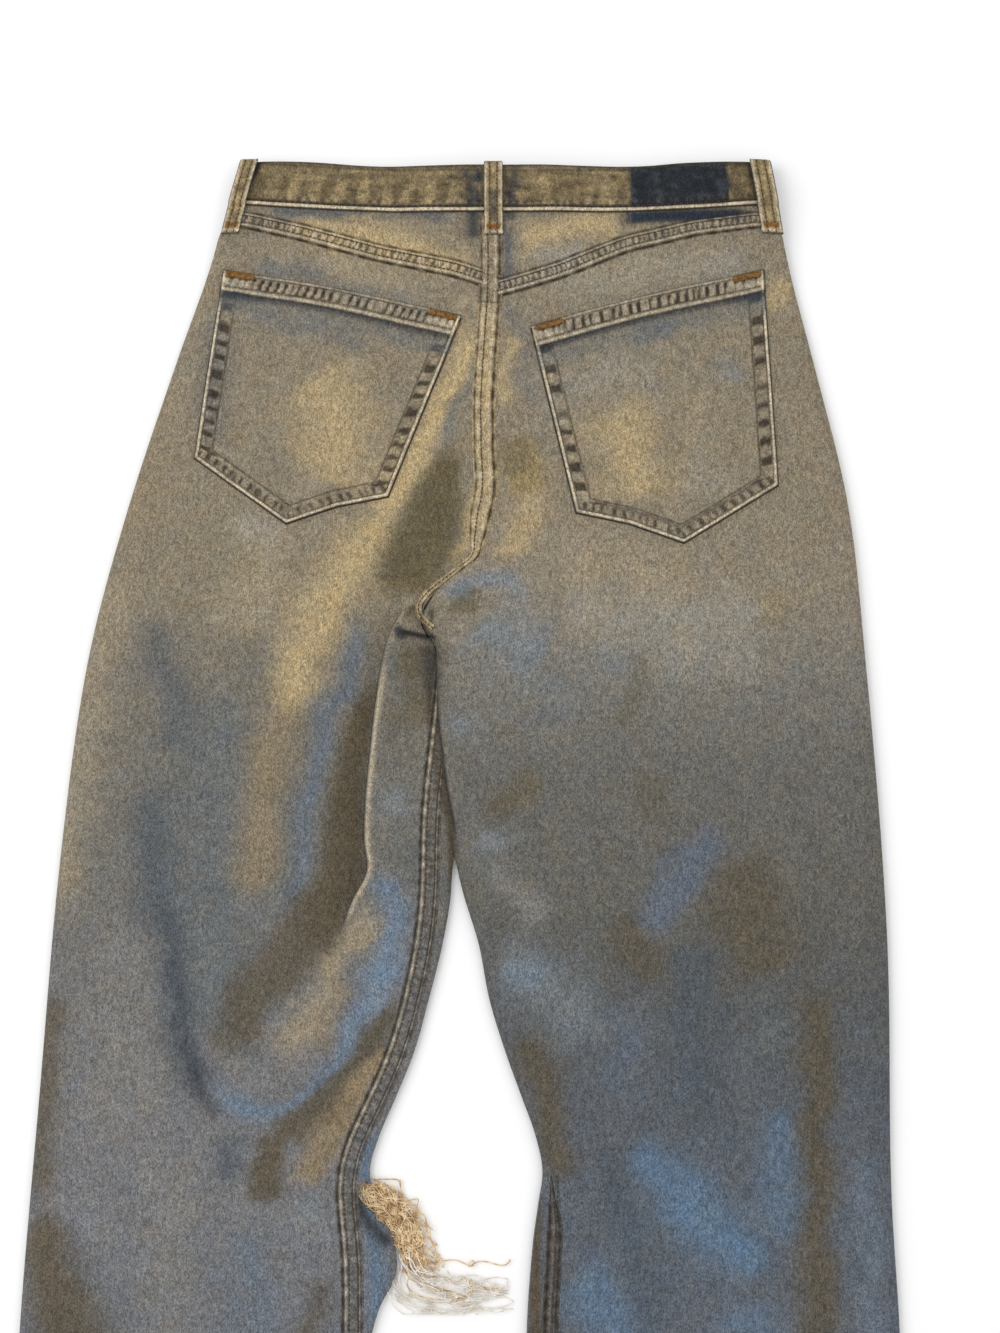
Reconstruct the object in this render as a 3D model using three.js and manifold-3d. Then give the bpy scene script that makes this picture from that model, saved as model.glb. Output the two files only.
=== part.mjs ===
// Ripped jeans laid out flat, face down: waist towards +Y, back upwards, the wearer's left leg at -X.
// Millimetres, +Z up. The origin is the middle of the outline, on the surface that the jeans lie on.
import * as THREE from 'three';
import { mergeVertices } from 'three/addons/utils/BufferGeometryUtils.js';
import Module from 'manifold-3d';

const wasm = await Module();
wasm.setup();

// Driving dimensions
const cloth = 1.5; // denim, one layer
const band = 3; // waistband, two layers
const gap = 0.3; // between two pieces at a seam
const crotchY = 212;
const waistMiddle = 28;
const waistHalf = 190;
const frontDip = 14; // how much lower the waistband lies at the centre front
const sideTurn = 3; // width of the turn from a flat front up to the side seam
const farAway = 700; // beyond every edge
const finest = 0.03; // smaller edges that the cuts leave are closed up
const deg = Math.PI / 180;
const { clamp, lerp, smoothstep } = THREE.MathUtils;

// A smooth function of y through [y, value] knots.
function through(knots) {
  const curve = new THREE.CubicInterpolant(
    knots.map((k) => k[0]),
    knots.map((k) => k[1]),
    1,
  );
  return (y) => curve.evaluate(y)[0];
}

// Heights of the middle of the cloth. The fronts lie on the floor, and the back lies on the fronts.
const frontZ = (y) => cloth / 2 + 4.25 * smoothstep(y, 450, 500);
const edgeZ = (y) => frontZ(y) + 2 - 0.25 * smoothstep(y, 450, 500);
const puff = through([
  [-547, 1.6], [-300, 2], [-40, 2.4], [90, 2.6], [220, 3], [330, 3.2], [420, 3.2], [470, 2.6],
  [505, 1.8], [547, 1.8],
]);
// The closed fly and the button lift the middle of the waist.
const flyLift = (x, y) => {
  const across = 1 - smoothstep(Math.abs(x - waistMiddle), 26, 85);
  return 3.7 * across * smoothstep(y, 400, 462);
};

// Plan of the seams and edges, seen from above
const centreSeam = [
  [226, -25], [237, -23], [262, -3], [293, 19], [314, 22], [341, 20], [400, 21], [453, 25], [547, 23],
];
const leftInner = [
  [-547, -60], [-300, -60], [-240, -58], [-210, -51], [-188, -40], [-166, -42], [-133, -57],
  [-112, -54], [-57, -31.5], [-14, -19.5], [30, -9.5], [68, -6], [100, -9.5], [133, -15], [179, -18.8],
  [212, -18.3],
];
const rightInner = [
  [-547, 47], [-221, 44], [-160, 49], [-121, 54], [-88, 44], [-60, 33.5], [-37, 26], [-18, 20.3], [0, 16.8],
  [19, 13], [38, 7.5], [57, 0.8], [69, -1.8], [100, -6.8], [133, -12], [179, -16], [212, -15.5],
];
const sides = {
  left: {
    inwards: 1,
    outer: through([
      [-547, -273], [-221, -270], [-82, -264], [81, -256], [205, -243], [307, -220], [414, -189],
      [493, -165], [547, -156],
    ]),
    inner: through([...leftInner, ...centreSeam]),
    innerRoll: 45,
    wrap: through([[-547, 8], [-221, 9], [-178, 26], [-149, 17], [-112, 11], [-40, 8], [20, 9.5], [75, 11.5], [172, 2]]),
  },
  right: {
    inwards: -1,
    outer: through([
      [-547, 269], [-221, 272], [-142, 270], [20, 273], [205, 265], [307, 257], [414, 235],
      [493, 218], [547, 211],
    ]),
    inner: through([...rightInner, ...centreSeam]),
    innerRoll: 30,
    wrap: through([[-547, 12], [-221, 11], [-160, 9], [-124, 4], [-90, 0], [0, 0]]),
  },
};

// Largest folds of the upper cloth: a soft trough or ridge along a line of [x, y] points.
const folds = [
  { line: [[-40, 222], [-64, 180], [-74, 110], [-76, 60], [-90, 15], [-94, -25]], wide: 15, high: -2.2 },
  { line: [[-40, 205], [-48, 140], [-50, 60], [-62, 5]], wide: 13, high: 5 },
  { line: [[-175, 20], [-172, -40], [-150, -84], [-118, -97], [-84, -74], [-60, -30]], wide: 13, high: -2 },
  { line: [[-140, 10], [-118, -48]], wide: 32, high: 5 },
  { line: [[-120, 290], [-150, 200], [-165, 90]], wide: 26, high: 3 },
  { line: [[150, 180], [165, 60], [150, -60]], wide: 34, high: 2.5 },
];

function foldHeight(x, y) {
  const at = new THREE.Vector3(x, y, 0);
  const near = new THREE.Vector3();
  let height = 0;
  for (const fold of folds) {
    let closest = Infinity;
    for (let i = 1; i < fold.line.length; i++) {
      const ends = [fold.line[i - 1], fold.line[i]].map(([a, b]) => new THREE.Vector3(a, b, 0));
      new THREE.Line3(...ends).closestPointToPoint(at, true, near);
      closest = Math.min(closest, near.distanceTo(at));
    }
    height += fold.high * Math.exp(-((closest / fold.wide) ** 2));
  }
  return height;
}

// 1 where the legs are separate tubes, 0 well above the crotch
const legness = (y, reach) => 1 - smoothstep(y, crotchY, crotchY + reach);
const quarterRound = (share) => Math.sqrt(1 - (1 - clamp(share, 0, 1)) ** 2);
const sideRoll = 14; // width over which the upper cloth rounds off at a side

// Height of the upper cloth, which rounds off at the side seam and at the inner edge of a leg
function upperZ(side, x, y) {
  const fromSide = quarterRound((side.inwards * (x - side.outer(y))) / sideRoll);
  const fromInner = quarterRound((side.inwards * (side.inner(y) - x)) / side.innerRoll);
  const rise = fromSide * lerp(1, fromInner, legness(y, 88));
  return edgeZ(y) + gap / 2 + (puff(y) + foldHeight(x, y) + flyLift(x, y)) * rise;
}

// How far round the inner edge, as an angle on its upper quarter, the inseam lies
function inseamAngle(side, y) {
  const back = Math.max(0, side.wrap(y));
  return Math.max(12 * deg, Math.acos(1 - back / side.innerRoll));
}

// Upper cloth from the side seam (u = 0) over the side (1) and the top (2) to the inseam or centre (3)
function backPoint(side, u, y) {
  const k = legness(y, 88);
  const outerX = side.outer(y);
  const innerX = side.inner(y) + side.inwards * (1 - k) * 1.2; // runs past the centre, trimmed there
  let x;
  if (u <= 1) {
    x = outerX + side.inwards * sideRoll * (1 - Math.cos(u * 90 * deg));
  } else if (u <= 2) {
    x = lerp(outerX + side.inwards * sideRoll, innerX - side.inwards * side.innerRoll, u - 1);
  } else {
    const angle = lerp(90 * deg, k * (inseamAngle(side, y) + 0.8 * deg), u - 2);
    x = innerX - side.inwards * side.innerRoll * (1 - Math.cos(angle));
  }
  return new THREE.Vector3(x, y, upperZ(side, x, y));
}

// Lower cloth from the side seam (u = 0) under the side (1), along the floor (2), round the inner
// edge (3) and up to the inseam (4). Above the crotch it stays on the floor as far as the centre.
function frontPoint(side, u, y) {
  const k = legness(y, 40);
  const outerX = side.outer(y);
  const tail = (1 - k) * 3;
  const turnX = side.inner(y) + side.inwards * (1.2 * (1 - k) - tail);
  const floorZ = frontZ(y);
  const drop = edgeZ(y) - floorZ;
  if (u <= 1) {
    const angle = u * 90 * deg;
    const x = outerX + side.inwards * sideTurn * (1 - Math.cos(angle));
    return new THREE.Vector3(x, y, edgeZ(y) - gap / 2 - (drop - gap / 2) * Math.sin(angle));
  }
  if (u <= 2) {
    const from = outerX + side.inwards * sideTurn;
    return new THREE.Vector3(lerp(from, turnX - side.inwards * sideTurn, u - 1), y, floorZ);
  }
  if (u <= 3) {
    const angle = (3 - u) * 90 * deg;
    const x = turnX - side.inwards * sideTurn * (1 - Math.cos(angle));
    return new THREE.Vector3(x, y, floorZ + k * drop * (1 - Math.sin(angle)));
  }
  const angle = (u - 3) * k * (inseamAngle(side, y) - 0.8 * deg);
  const x = turnX + side.inwards * (tail * (u - 3) - side.innerRoll * (1 - Math.cos(angle)));
  return new THREE.Vector3(x, y, lerp(floorZ, upperZ(side, x, y), k));
}

// Solids
function solidOf(geometry) {
  geometry.deleteAttribute('normal');
  geometry.deleteAttribute('uv');
  const merged = mergeVertices(geometry, 1e-4);
  const mesh = new wasm.Mesh({
    numProp: 3,
    vertProperties: merged.attributes.position.array,
    triVerts: new Uint32Array(merged.index.array),
  });
  return new wasm.Manifold(mesh);
}

function geometryOf(solid) {
  const { vertProperties, triVerts } = solid.simplify(finest).getMesh();
  const geometry = new THREE.BufferGeometry();
  geometry.setAttribute('position', new THREE.BufferAttribute(new Float32Array(vertProperties), 3));
  geometry.setIndex(new THREE.BufferAttribute(new Uint32Array(triVerts), 1));
  geometry.computeVertexNormals();
  return geometry;
}

// A closed wall on a grid of points, from `inside` to `outside` of them along the outward normals.
// turned is 1 or -1 for the way that the grid's rows and columns run.
function wallOf(grid, normals, turned, inside, outside) {
  const rowCount = grid.length;
  const columnCount = grid[0].length;
  const positions = [];
  for (const offset of [outside, inside]) {
    grid.forEach((row, i) =>
      row.forEach((p, j) => positions.push(...p.clone().addScaledVector(normals[i][j], offset))),
    );
  }
  const index = [];
  const at = (layer, i, j) => (layer * rowCount + i) * columnCount + j;
  const quad = (p, q, r, s) => index.push(...(turned > 0 ? [p, q, r, p, r, s] : [p, r, q, p, s, r]));
  const endRow = rowCount - 1;
  const endColumn = columnCount - 1;
  for (let i = 0; i < endRow; i++) {
    for (let j = 0; j < endColumn; j++) {
      quad(at(0, i, j), at(0, i, j + 1), at(0, i + 1, j + 1), at(0, i + 1, j));
      quad(at(1, i, j), at(1, i + 1, j), at(1, i + 1, j + 1), at(1, i, j + 1));
    }
    quad(at(0, i, 0), at(0, i + 1, 0), at(1, i + 1, 0), at(1, i, 0));
    quad(at(0, i, endColumn), at(1, i, endColumn), at(1, i + 1, endColumn), at(0, i + 1, endColumn));
  }
  for (let j = 0; j < endColumn; j++) {
    quad(at(0, 0, j), at(1, 0, j), at(1, 0, j + 1), at(0, 0, j + 1));
    quad(at(0, endRow, j), at(0, endRow, j + 1), at(1, endRow, j + 1), at(1, endRow, j));
  }
  const geometry = new THREE.BufferGeometry();
  geometry.setAttribute('position', new THREE.Float32BufferAttribute(positions, 3));
  geometry.setIndex(index);
  return solidOf(geometry);
}

// A wall on the surface pointAt(side, u, y), with its normals taken from the surface itself.
function sheetOf(pointAt, side, turned, columns, ys, inside, outside) {
  const [first, last] = [columns[0], columns.at(-1)];
  const step = 0.02;
  const grid = ys.map((y) => columns.map((u) => pointAt(side, u, y)));
  const normals = ys.map((y) =>
    columns.map((u) => {
      const next = pointAt(side, Math.min(u + step, last), y);
      const across = next.sub(pointAt(side, Math.max(u - step, first), y));
      const along = pointAt(side, u, y + 2).sub(pointAt(side, u, y - 2));
      return across.cross(along).normalize().multiplyScalar(turned);
    }),
  );
  return wallOf(grid, normals, turned, inside, outside);
}

// A wall on a plain grid, with its normals taken from the neighbouring points.
function gridWall(grid, turned, inside, outside) {
  const last = grid.length - 1;
  const normals = grid.map((row, i) =>
    row.map((_, j) => {
      const along = grid[Math.min(i + 1, last)][j].clone().sub(grid[Math.max(i - 1, 0)][j]);
      const across = row[Math.min(j + 1, row.length - 1)].clone().sub(row[Math.max(j - 1, 0)]);
      return across.cross(along).normalize().multiplyScalar(turned);
    }),
  );
  return wallOf(grid, normals, turned, inside, outside);
}

// An upright prism on an outline of [x, y] points, from z = low to z = high.
function prism(outline, low = -20, high = 80) {
  const shape = new THREE.Shape(outline.map(([x, y]) => new THREE.Vector2(x, y)));
  const geometry = new THREE.ExtrudeGeometry(shape, { depth: high - low, bevelEnabled: false });
  return solidOf(geometry.translate(0, 0, low));
}

// Grids
const rows = [
  -547, -460, -370, -300, -240, -208, -188, -166, -146, -126, -104, -80, -52, -20, 15, 50, 90, 130, 165, 192,
  212, 226, 242, 262, 285, 312, 345, 380, 415, 450, 480, 503, 522,
];
const backColumns = [0, 0.33, 0.67, 1, 1.2, 1.4, 1.6, 1.8, 2, 2.35, 2.7, 3];
const frontColumns = [0, 0.5, 1, 2, 2.5, 3, 3.4, 4];

// The upright line that parts the left half from the right: centre seams, then between the legs.
const centreAt = through(centreSeam);
const betweenAt = (y) => (sides.left.inner(y) + sides.right.inner(y)) / 2;
const parting = [[betweenAt(rows[0]), -farAway]];
for (let i = 1; i < rows.length; i++) {
  const y = lerp(rows[i - 1], rows[i], 0.53);
  parting.push([y > crotchY ? centreAt(y) : betweenAt(y), y]);
}
parting.push([24, farAway]);
function halfOf(side) {
  const shifted = parting.map(([x, y]) => [x - (side.inwards * gap) / 2, y]);
  const edge = -side.inwards * farAway;
  return prism([...shifted, [edge, farAway], [edge, -farAway]]);
}

// Waistband edges across the back. The front dips below them towards its middle.
const bandBottom = (x) => 509 + 8 * ((x - waistMiddle) / waistHalf) ** 2;
const bandTop = (x) => 543.5 + 4 * smoothstep(Math.abs(x - waistMiddle), 90, 150);
const dipAt = (x) => frontDip * smoothstep(1 - Math.abs(x - waistMiddle) / waistHalf, 0, 1);

// What lies below the waistband: trims the tops of yokes and fronts.
function belowBand(dipShare) {
  const line = [];
  for (let x = waistMiddle - 220; x <= waistMiddle + 220; x += 20) {
    line.push([x, bandBottom(x) - gap - dipShare * dipAt(x)]);
  }
  const [startY, endY] = [line[0][1], line.at(-1)[1]];
  return prism([[-farAway, startY], ...line, [farAway, endY], [farAway, -farAway], [-farAway, -farAway]]);
}

// Back: panels, yokes and patch pockets
const yokeLines = {
  left: [[-farAway, 504], [-175, 504], [-153, 501], [-110, 491], [-60, 477], [-8, 465], [40, 449]],
  right: [[12, 447], [28, 451], [67, 463], [110, 482], [162, 495], [200, 500], [235, 503], [farAway, 503]],
};
const pocketOutlines = {
  left: [[-163, 466], [-80, 452], [-1, 432], [-27, 372], [-48, 309], [-82, 302], [-116, 290], [-179, 336]],
  right: [[46, 429], [126, 450], [206, 466], [210, 390], [212, 317], [148, 277], [112, 290], [76, 298]],
};

function backPieces(name, side) {
  const half = halfOf(side);
  const sheet = (ys, inside, outside) =>
    sheetOf(backPoint, side, side.inwards, backColumns, ys, inside, outside).intersect(half);
  const line = yokeLines[name];
  const corners = [[farAway, farAway], [-farAway, farAway]];
  const above = (drop) => prism([...line.map(([x, y]) => [x, y - drop]), ...corners]);
  const cut = sheet(rows, -cloth / 2, cloth / 2);
  const pocketRows = rows.filter((y) => y > 250 && y < 510);
  return {
    panel: cut.subtract(above(gap)),
    yoke: cut.intersect(above(0)).intersect(belowBand(0)),
    pocket: sheet(pocketRows, cloth / 2 + gap, cloth * 1.5 + gap).intersect(prism(pocketOutlines[name])),
  };
}

// Front: panels with scooped pocket mouths, the facings behind the mouths, and the torn left knee
const mouth = { across: 82, down: 72, top: 512 };
const facing = { across: 100, down: 92, thick: 1, columns: [1.04, 1.5, 2, 2.5] };
const tear = { x: -104, y: -161, halfWidth: 48, halfHeight: 26, top: 2.2 };
// The tear runs up round the inner edge and into the strip of front beside the inseam.
const tearOnTop = [
  [-90, -182], [-62, -184], [-20, -190], [-20, -134], [-57, -135], [-63, -148], [-90, -148],
];

function scoop(side, across, down) {
  const corner = side.outer(mouth.top);
  const beyond = corner - side.inwards * 60;
  const outline = [[beyond, mouth.top + 20], [corner + side.inwards * across, mouth.top + 20]];
  for (let a = 0; a <= 90; a += 15) {
    const x = corner + side.inwards * across * Math.cos(a * deg);
    outline.push([x, mouth.top - down * Math.sin(a * deg)]);
  }
  return prism([...outline, [beyond, mouth.top - down]]);
}

function tearTools() {
  const round = [];
  for (let a = 0; a < 360; a += 20) {
    const ragged = 1 + 0.09 * Math.sin(5 * a * deg) + 0.05 * Math.sin(11 * a * deg);
    round.push([
      tear.x + tear.halfWidth * ragged * Math.cos(a * deg),
      tear.y + tear.halfHeight * ragged * Math.sin(a * deg),
    ]);
  }
  return prism(round, -20, tear.top).add(prism(tearOnTop, tear.top, 60));
}

function frontPieces(name, side) {
  const half = halfOf(side);
  const below = belowBand(1);
  const sheet = (columns, ys, inside, outside) =>
    sheetOf(frontPoint, side, -side.inwards, columns, ys, inside, outside).intersect(half).intersect(below);
  const mouthScoop = scoop(side, mouth.across, mouth.down);
  const cut = sheet(frontColumns, rows, -cloth / 2, cloth / 2).subtract(mouthScoop);
  const facingRows = rows.filter((y) => y > 370);
  const { columns, thick } = facing;
  return {
    panel: name === 'left' ? cut.subtract(tearTools()) : cut,
    pocketFacing: sheet(columns, facingRows, -cloth / 2 - gap - thick, -cloth / 2 - gap)
      .intersect(scoop(side, facing.across, facing.down)),
  };
}

// Waistband: one band from the buttonhole end at the centre front, round the back, to the button end
const overlap = 16; // how far each end passes the centre front
const button = { capRadius: 8.5, shankRadius: 2, y: 512 };
const bandLevel = 526; // where the waistband's heights are taken
function waistband() {
  const ring = [];
  const { left, right } = sides;
  const frontUs = [1.75, 1.5, 1.25, 1, 0.5, 0];
  const backUs = [0.33, 0.67, 1, 1.25, 1.5, 1.75, 2, 2.5];
  frontUs.forEach((u) => ring.push([frontPoint, left, u]));
  backUs.forEach((u) => ring.push([backPoint, left, u]));
  backUs.toReversed().forEach((u) => ring.push([backPoint, right, u]));
  frontUs.toReversed().forEach((u) => ring.push([frontPoint, right, u]));
  const grid = [0, 0.5, 1].map((level) => {
    const set = (p, onFront) => {
      p.y = lerp(bandBottom(p.x), bandTop(p.x), level) - onFront * dipAt(p.x);
      return p;
    };
    const row = ring.map(([pointAt, side, u]) => set(pointAt(side, u, bandLevel), pointAt === frontPoint));
    const floorZ = frontZ(bandLevel);
    const end = (dx, rise) => set(new THREE.Vector3(waistMiddle + dx, 0, floorZ + rise), 1);
    const above = band + gap;
    return [
      end(overlap, 0), end(0, 0), end(-overlap - 10, 0), ...row,
      end(overlap + 34, 0), end(overlap + 4, above), end(0, above), end(-overlap, above),
    ];
  });
  const shankHole = new THREE.CylinderGeometry(button.shankRadius + gap, button.shankRadius + gap, 8.6, 16);
  shankHole.rotateX(90 * deg).translate(waistMiddle, button.y, 4.7);
  return gridWall(grid, 1, -band / 2, band / 2).subtract(solidOf(shankHole));
}

// Shank button on the button end: its cap faces the floor.
function shankButton() {
  const { capRadius, shankRadius } = button;
  const capTop = frontZ(bandLevel) - band / 2 - gap;
  const shankTop = capTop + band + 2.3;
  const profile = [
    [0, 0.3], [capRadius - 1, 0.3], [capRadius, 1.2], [capRadius, 2.2], [capRadius - 1.5, capTop],
    [shankRadius, capTop], [shankRadius, shankTop], [0, shankTop],
  ].map(([x, y]) => new THREE.Vector2(x, y));
  const geometry = new THREE.LatheGeometry(profile, 32);
  return solidOf(geometry.rotateX(90 * deg).translate(waistMiddle, button.y, 0));
}

// Belt loops: a strip over the waistband, bowed up a little between its sewn ends
const loopWidth = 13;
const loopThick = 1.4;
function beltLoop({ x, lean, low, high, onFront }) {
  const outwards = onFront ? -1 : 1;
  const grid = [0, 0.15, 0.35, 0.65, 0.85, 1].map((t) =>
    [-0.5, 0, 0.5].map((share) => {
      const at = x + share * loopWidth + lean * (t - 0.5);
      const side = at < waistMiddle ? sides.left : sides.right;
      const clear = band / 2 + gap + loopThick / 2 + 0.5 * Math.sin(Math.PI * t);
      const z = onFront ? frontZ(bandLevel) - clear : upperZ(side, at, bandLevel) + clear;
      return new THREE.Vector3(at, lerp(low, high, t), z);
    }),
  );
  return gridWall(grid, outwards, -loopThick / 2, loopThick / 2);
}
const loops = {
  loop_back: { x: 21.5, lean: -1, low: 492, high: 546 },
  loop_side_left: { x: -151, lean: 13, low: 495, high: 547 },
  loop_side_right: { x: 207, lean: -8, low: 495, high: 547 },
  loop_front_left: { x: -62, lean: 2, low: 488, high: 538, onFront: true },
  loop_front_right: { x: 118, lean: -2, low: 488, high: 538, onFront: true },
};

// Closed zip behind the centre front seam: both tapes with the chain between them, and the slider
const zip = { halfWidth: 13, thick: 1, low: 352, high: 490 };
const slider = { halfWidth: 3.5, thick: 2, low: 464, high: 488 };
const sliderRoom = 2.4; // between the front panels and the tape
function zipTape() {
  const grid = [0, 0.3, 0.55, 0.7, 0.8, 1].map((t) => {
    const y = lerp(zip.low, zip.high, t);
    const lift = (sliderRoom + gap) * smoothstep(y, 430, 458);
    const z = frontZ(y) + cloth / 2 + gap + zip.thick / 2 + lift;
    return [-1, 1].map((turn) => new THREE.Vector3(centreAt(y) + turn * zip.halfWidth, y, z));
  });
  return gridWall(grid, 1, -zip.thick / 2, zip.thick / 2);
}
function zipSlider() {
  const grid = [0, 0.6, 1].map((t) => {
    const y = lerp(slider.low, slider.high, t);
    const z = frontZ(y) + cloth / 2 + gap + sliderRoom / 2;
    return [-1, 1].map((turn) => new THREE.Vector3(centreAt(y) + turn * slider.halfWidth, y, z));
  });
  return gridWall(grid, 1, -slider.thick / 2, slider.thick / 2);
}

// Frayed cross threads that hang out of the torn knee: the space they reach, on the leg and the floor
const frayReach = [
  [-63, -150], [-57, -138], [-44, -134], [-32, -142], [-24, -158], [-10, -169], [8, -186], [30, -190],
  [31, -202], [12, -208], [-12, -209], [-40, -197], [-62, -180],
];
function kneeThreads() {
  const clear = cloth / 2 + gap;
  const { left } = sides;
  const around = sheetOf(frontPoint, left, -1, frontColumns, rows, -clear, clear)
    .subtract(prism(tearOnTop, tear.top + 0.1, 60))
    .add(sheetOf(backPoint, left, 1, backColumns, rows, -clear, clear));
  const bodies = prism(frayReach, 0.3, 4.2).subtract(around).decompose();
  return bodies.sort((p, q) => q.volume() - p.volume())[0];
}

// The jeans
function paint(color, roughness, metalness) {
  return new THREE.MeshStandardMaterial({ color, roughness, metalness });
}
const denim = () => paint(0x7d8691, 0.95, 0);
const wornDenim = () => paint(0x99917d, 0.95, 0);
const jeans = new THREE.Group();
function add(name, solid, material) {
  const mesh = new THREE.Mesh(geometryOf(solid), material);
  mesh.name = name;
  jeans.add(mesh);
}

for (const [name, side] of Object.entries(sides)) {
  const back = backPieces(name, side);
  const front = frontPieces(name, side);
  add(`back_${name}`, back.panel, denim());
  add(`yoke_${name}`, back.yoke, wornDenim());
  add(`back_pocket_${name}`, back.pocket, wornDenim());
  add(`front_${name}`, front.panel, denim());
  add(`pocket_facing_${name}`, front.pocketFacing, denim());
}
add('waistband', waistband(), wornDenim());
for (const [name, loop] of Object.entries(loops)) add(name, beltLoop(loop), wornDenim());
add('button', shankButton(), paint(0x8a7a62, 0.4, 0.9));
add('zip', zipTape(), paint(0x4c5664, 0.9, 0));
add('zip_slider', zipSlider(), paint(0x9a8453, 0.35, 1));
add('knee_threads', kneeThreads(), paint(0xdccfae, 1, 0));

export default jeans;
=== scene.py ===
import math

import bpy
import numpy as np
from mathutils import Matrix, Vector


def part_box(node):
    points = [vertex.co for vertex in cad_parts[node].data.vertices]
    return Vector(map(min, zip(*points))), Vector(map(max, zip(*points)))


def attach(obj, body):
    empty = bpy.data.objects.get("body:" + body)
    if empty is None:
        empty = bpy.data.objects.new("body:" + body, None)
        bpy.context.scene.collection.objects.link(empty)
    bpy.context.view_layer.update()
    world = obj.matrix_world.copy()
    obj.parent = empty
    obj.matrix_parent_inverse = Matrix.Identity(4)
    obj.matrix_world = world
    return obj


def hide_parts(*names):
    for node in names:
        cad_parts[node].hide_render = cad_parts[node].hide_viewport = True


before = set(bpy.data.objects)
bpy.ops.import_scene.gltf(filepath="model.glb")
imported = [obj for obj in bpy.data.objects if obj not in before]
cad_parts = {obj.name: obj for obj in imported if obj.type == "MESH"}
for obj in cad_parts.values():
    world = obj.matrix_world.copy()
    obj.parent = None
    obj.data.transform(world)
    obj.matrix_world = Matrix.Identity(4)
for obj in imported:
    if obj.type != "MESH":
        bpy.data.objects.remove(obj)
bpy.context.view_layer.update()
mm = 0.001  # lengths below are in millimetres

jeans = {
    "cloth": 1.5,
    "crotch": 212,  # where the legs part
    "waistMiddle": 28,
    "bandLevel": 526,  # where the waistband's ends are taken
    "sideRoll": 24,  # width of the turn from the top to a side seam
}


def smooth(x, low, high):
    t = np.clip((x - low) / (high - low), 0, 1)
    return t * t * (3 - 2 * t)


def lerp(a, b, t):
    return a + (b - a) * t


def bump(x, wide, power=2):
    return np.exp(-np.abs(x / wide) ** power)


def runAlong(points):  # how far along a line each of its points is
    return np.concatenate([[0], np.cumsum(np.linalg.norm(np.diff(points, axis=0), axis=1))])


def tangents(path):
    tangent = np.gradient(path, axis=0)
    return tangent / np.linalg.norm(tangent, axis=1, keepdims=True)


def through(knots):  # a smooth function through (position, value) knots
    pos, val = (np.array(column, float) for column in zip(*knots))
    slope = np.diff(val) / np.diff(pos)
    tangent = np.concatenate([slope[:1], (slope[1:] + slope[:-1]) / 2, slope[-1:]])

    def at(p):
        p = np.asarray(p, float)
        i = np.clip(np.searchsorted(pos, p, side="right") - 1, 0, len(pos) - 2)
        span = pos[i + 1] - pos[i]
        t = np.clip((p - pos[i]) / span, -0.3, 1.3)
        ends = val[i] * (2 * t**3 - 3 * t**2 + 1) + val[i + 1] * (3 * t**2 - 2 * t**3)
        return ends + span * (tangent[i] * (t**3 - 2 * t**2 + t) + tangent[i + 1] * (t**3 - t**2))

    return at


def curve(points, step=5.0):  # a smooth line through points, with a point every step
    points = np.array(points, float)
    run = runAlong(points)
    t = np.linspace(0, run[-1], max(2, int(run[-1] / step) + 1))
    return np.stack([through(list(zip(run, column)))(t) for column in points.T], 1)


def nearest(line, x, y):  # distance to a line, plus on its left, and how far along it that is
    best = np.full(x.shape, 1e9)
    left = np.ones(x.shape)
    along = np.zeros(x.shape)
    start = 0.0
    for (ax, ay), (bx, by) in zip(line[:-1], line[1:]):
        dx, dy = bx - ax, by - ay
        length = math.hypot(dx, dy)
        t = np.clip(((x - ax) * dx + (y - ay) * dy) / length**2, 0, 1)
        away = np.hypot(x - ax - t * dx, y - ay - t * dy)
        closer = away < best
        left = np.where(closer, np.sign(dx * (y - ay) - dy * (x - ax)), left)
        along = np.where(closer, start + t * length, along)
        best = np.minimum(best, away)
        start += length
    return best * left, along, start


def stroke(line, wide, x, y, fade=0.22, power=2):  # 1 on a line, falling off over wide = (left, right)
    line = curve(line, 8)
    reach = 2.6 * np.max(wide)
    near = np.abs(x - line[:, 0].mean()) < np.ptp(line[:, 0]) + reach
    near &= np.abs(y - line[:, 1].mean()) < np.ptp(line[:, 1]) + reach
    out = np.zeros(x.shape)
    if not near.any():
        return out
    away, along, length = nearest(line, x[near], y[near])
    wide = np.array(wide, float)
    if len(wide) > 2:  # half widths at even steps along the line
        half = np.interp(along / length, np.linspace(0, 1, len(wide)), wide)
    else:
        half = np.where(away > 0, wide[0], wide[1])
    shape = bump(away, half, power)
    out[near] = shape * smooth(along, -1, fade * length) * smooth(length - along, -1, fade * length)
    return out


def ripple(x, y, length, seed):  # gentle irregular waves of about that length, from -1 to 1
    rng = np.random.default_rng(seed)
    turns, sizes, phases = (rng.uniform(*span, 9) for span in ((0, math.tau), (0.7, 1.5), (0, math.tau)))
    total = 0
    for turn, size, phase in zip(turns, sizes, phases):
        k = math.tau / (length * size)
        total = total + np.sin(k * (x * math.cos(turn) + y * math.sin(turn)) + phase)
    return total / 4.2


def puckers(run, pitch, seed):  # uneven gathers along a seam, from -1 to 1
    rng = np.random.default_rng(seed)
    total = 0
    for size, phase in zip(rng.uniform(0.75, 1.6, 6), rng.uniform(0, math.tau, 6)):
        total = total + np.sin(math.tau * run / (pitch * size) + phase)
    return np.clip(total / 2.6, -1, 1)


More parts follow.
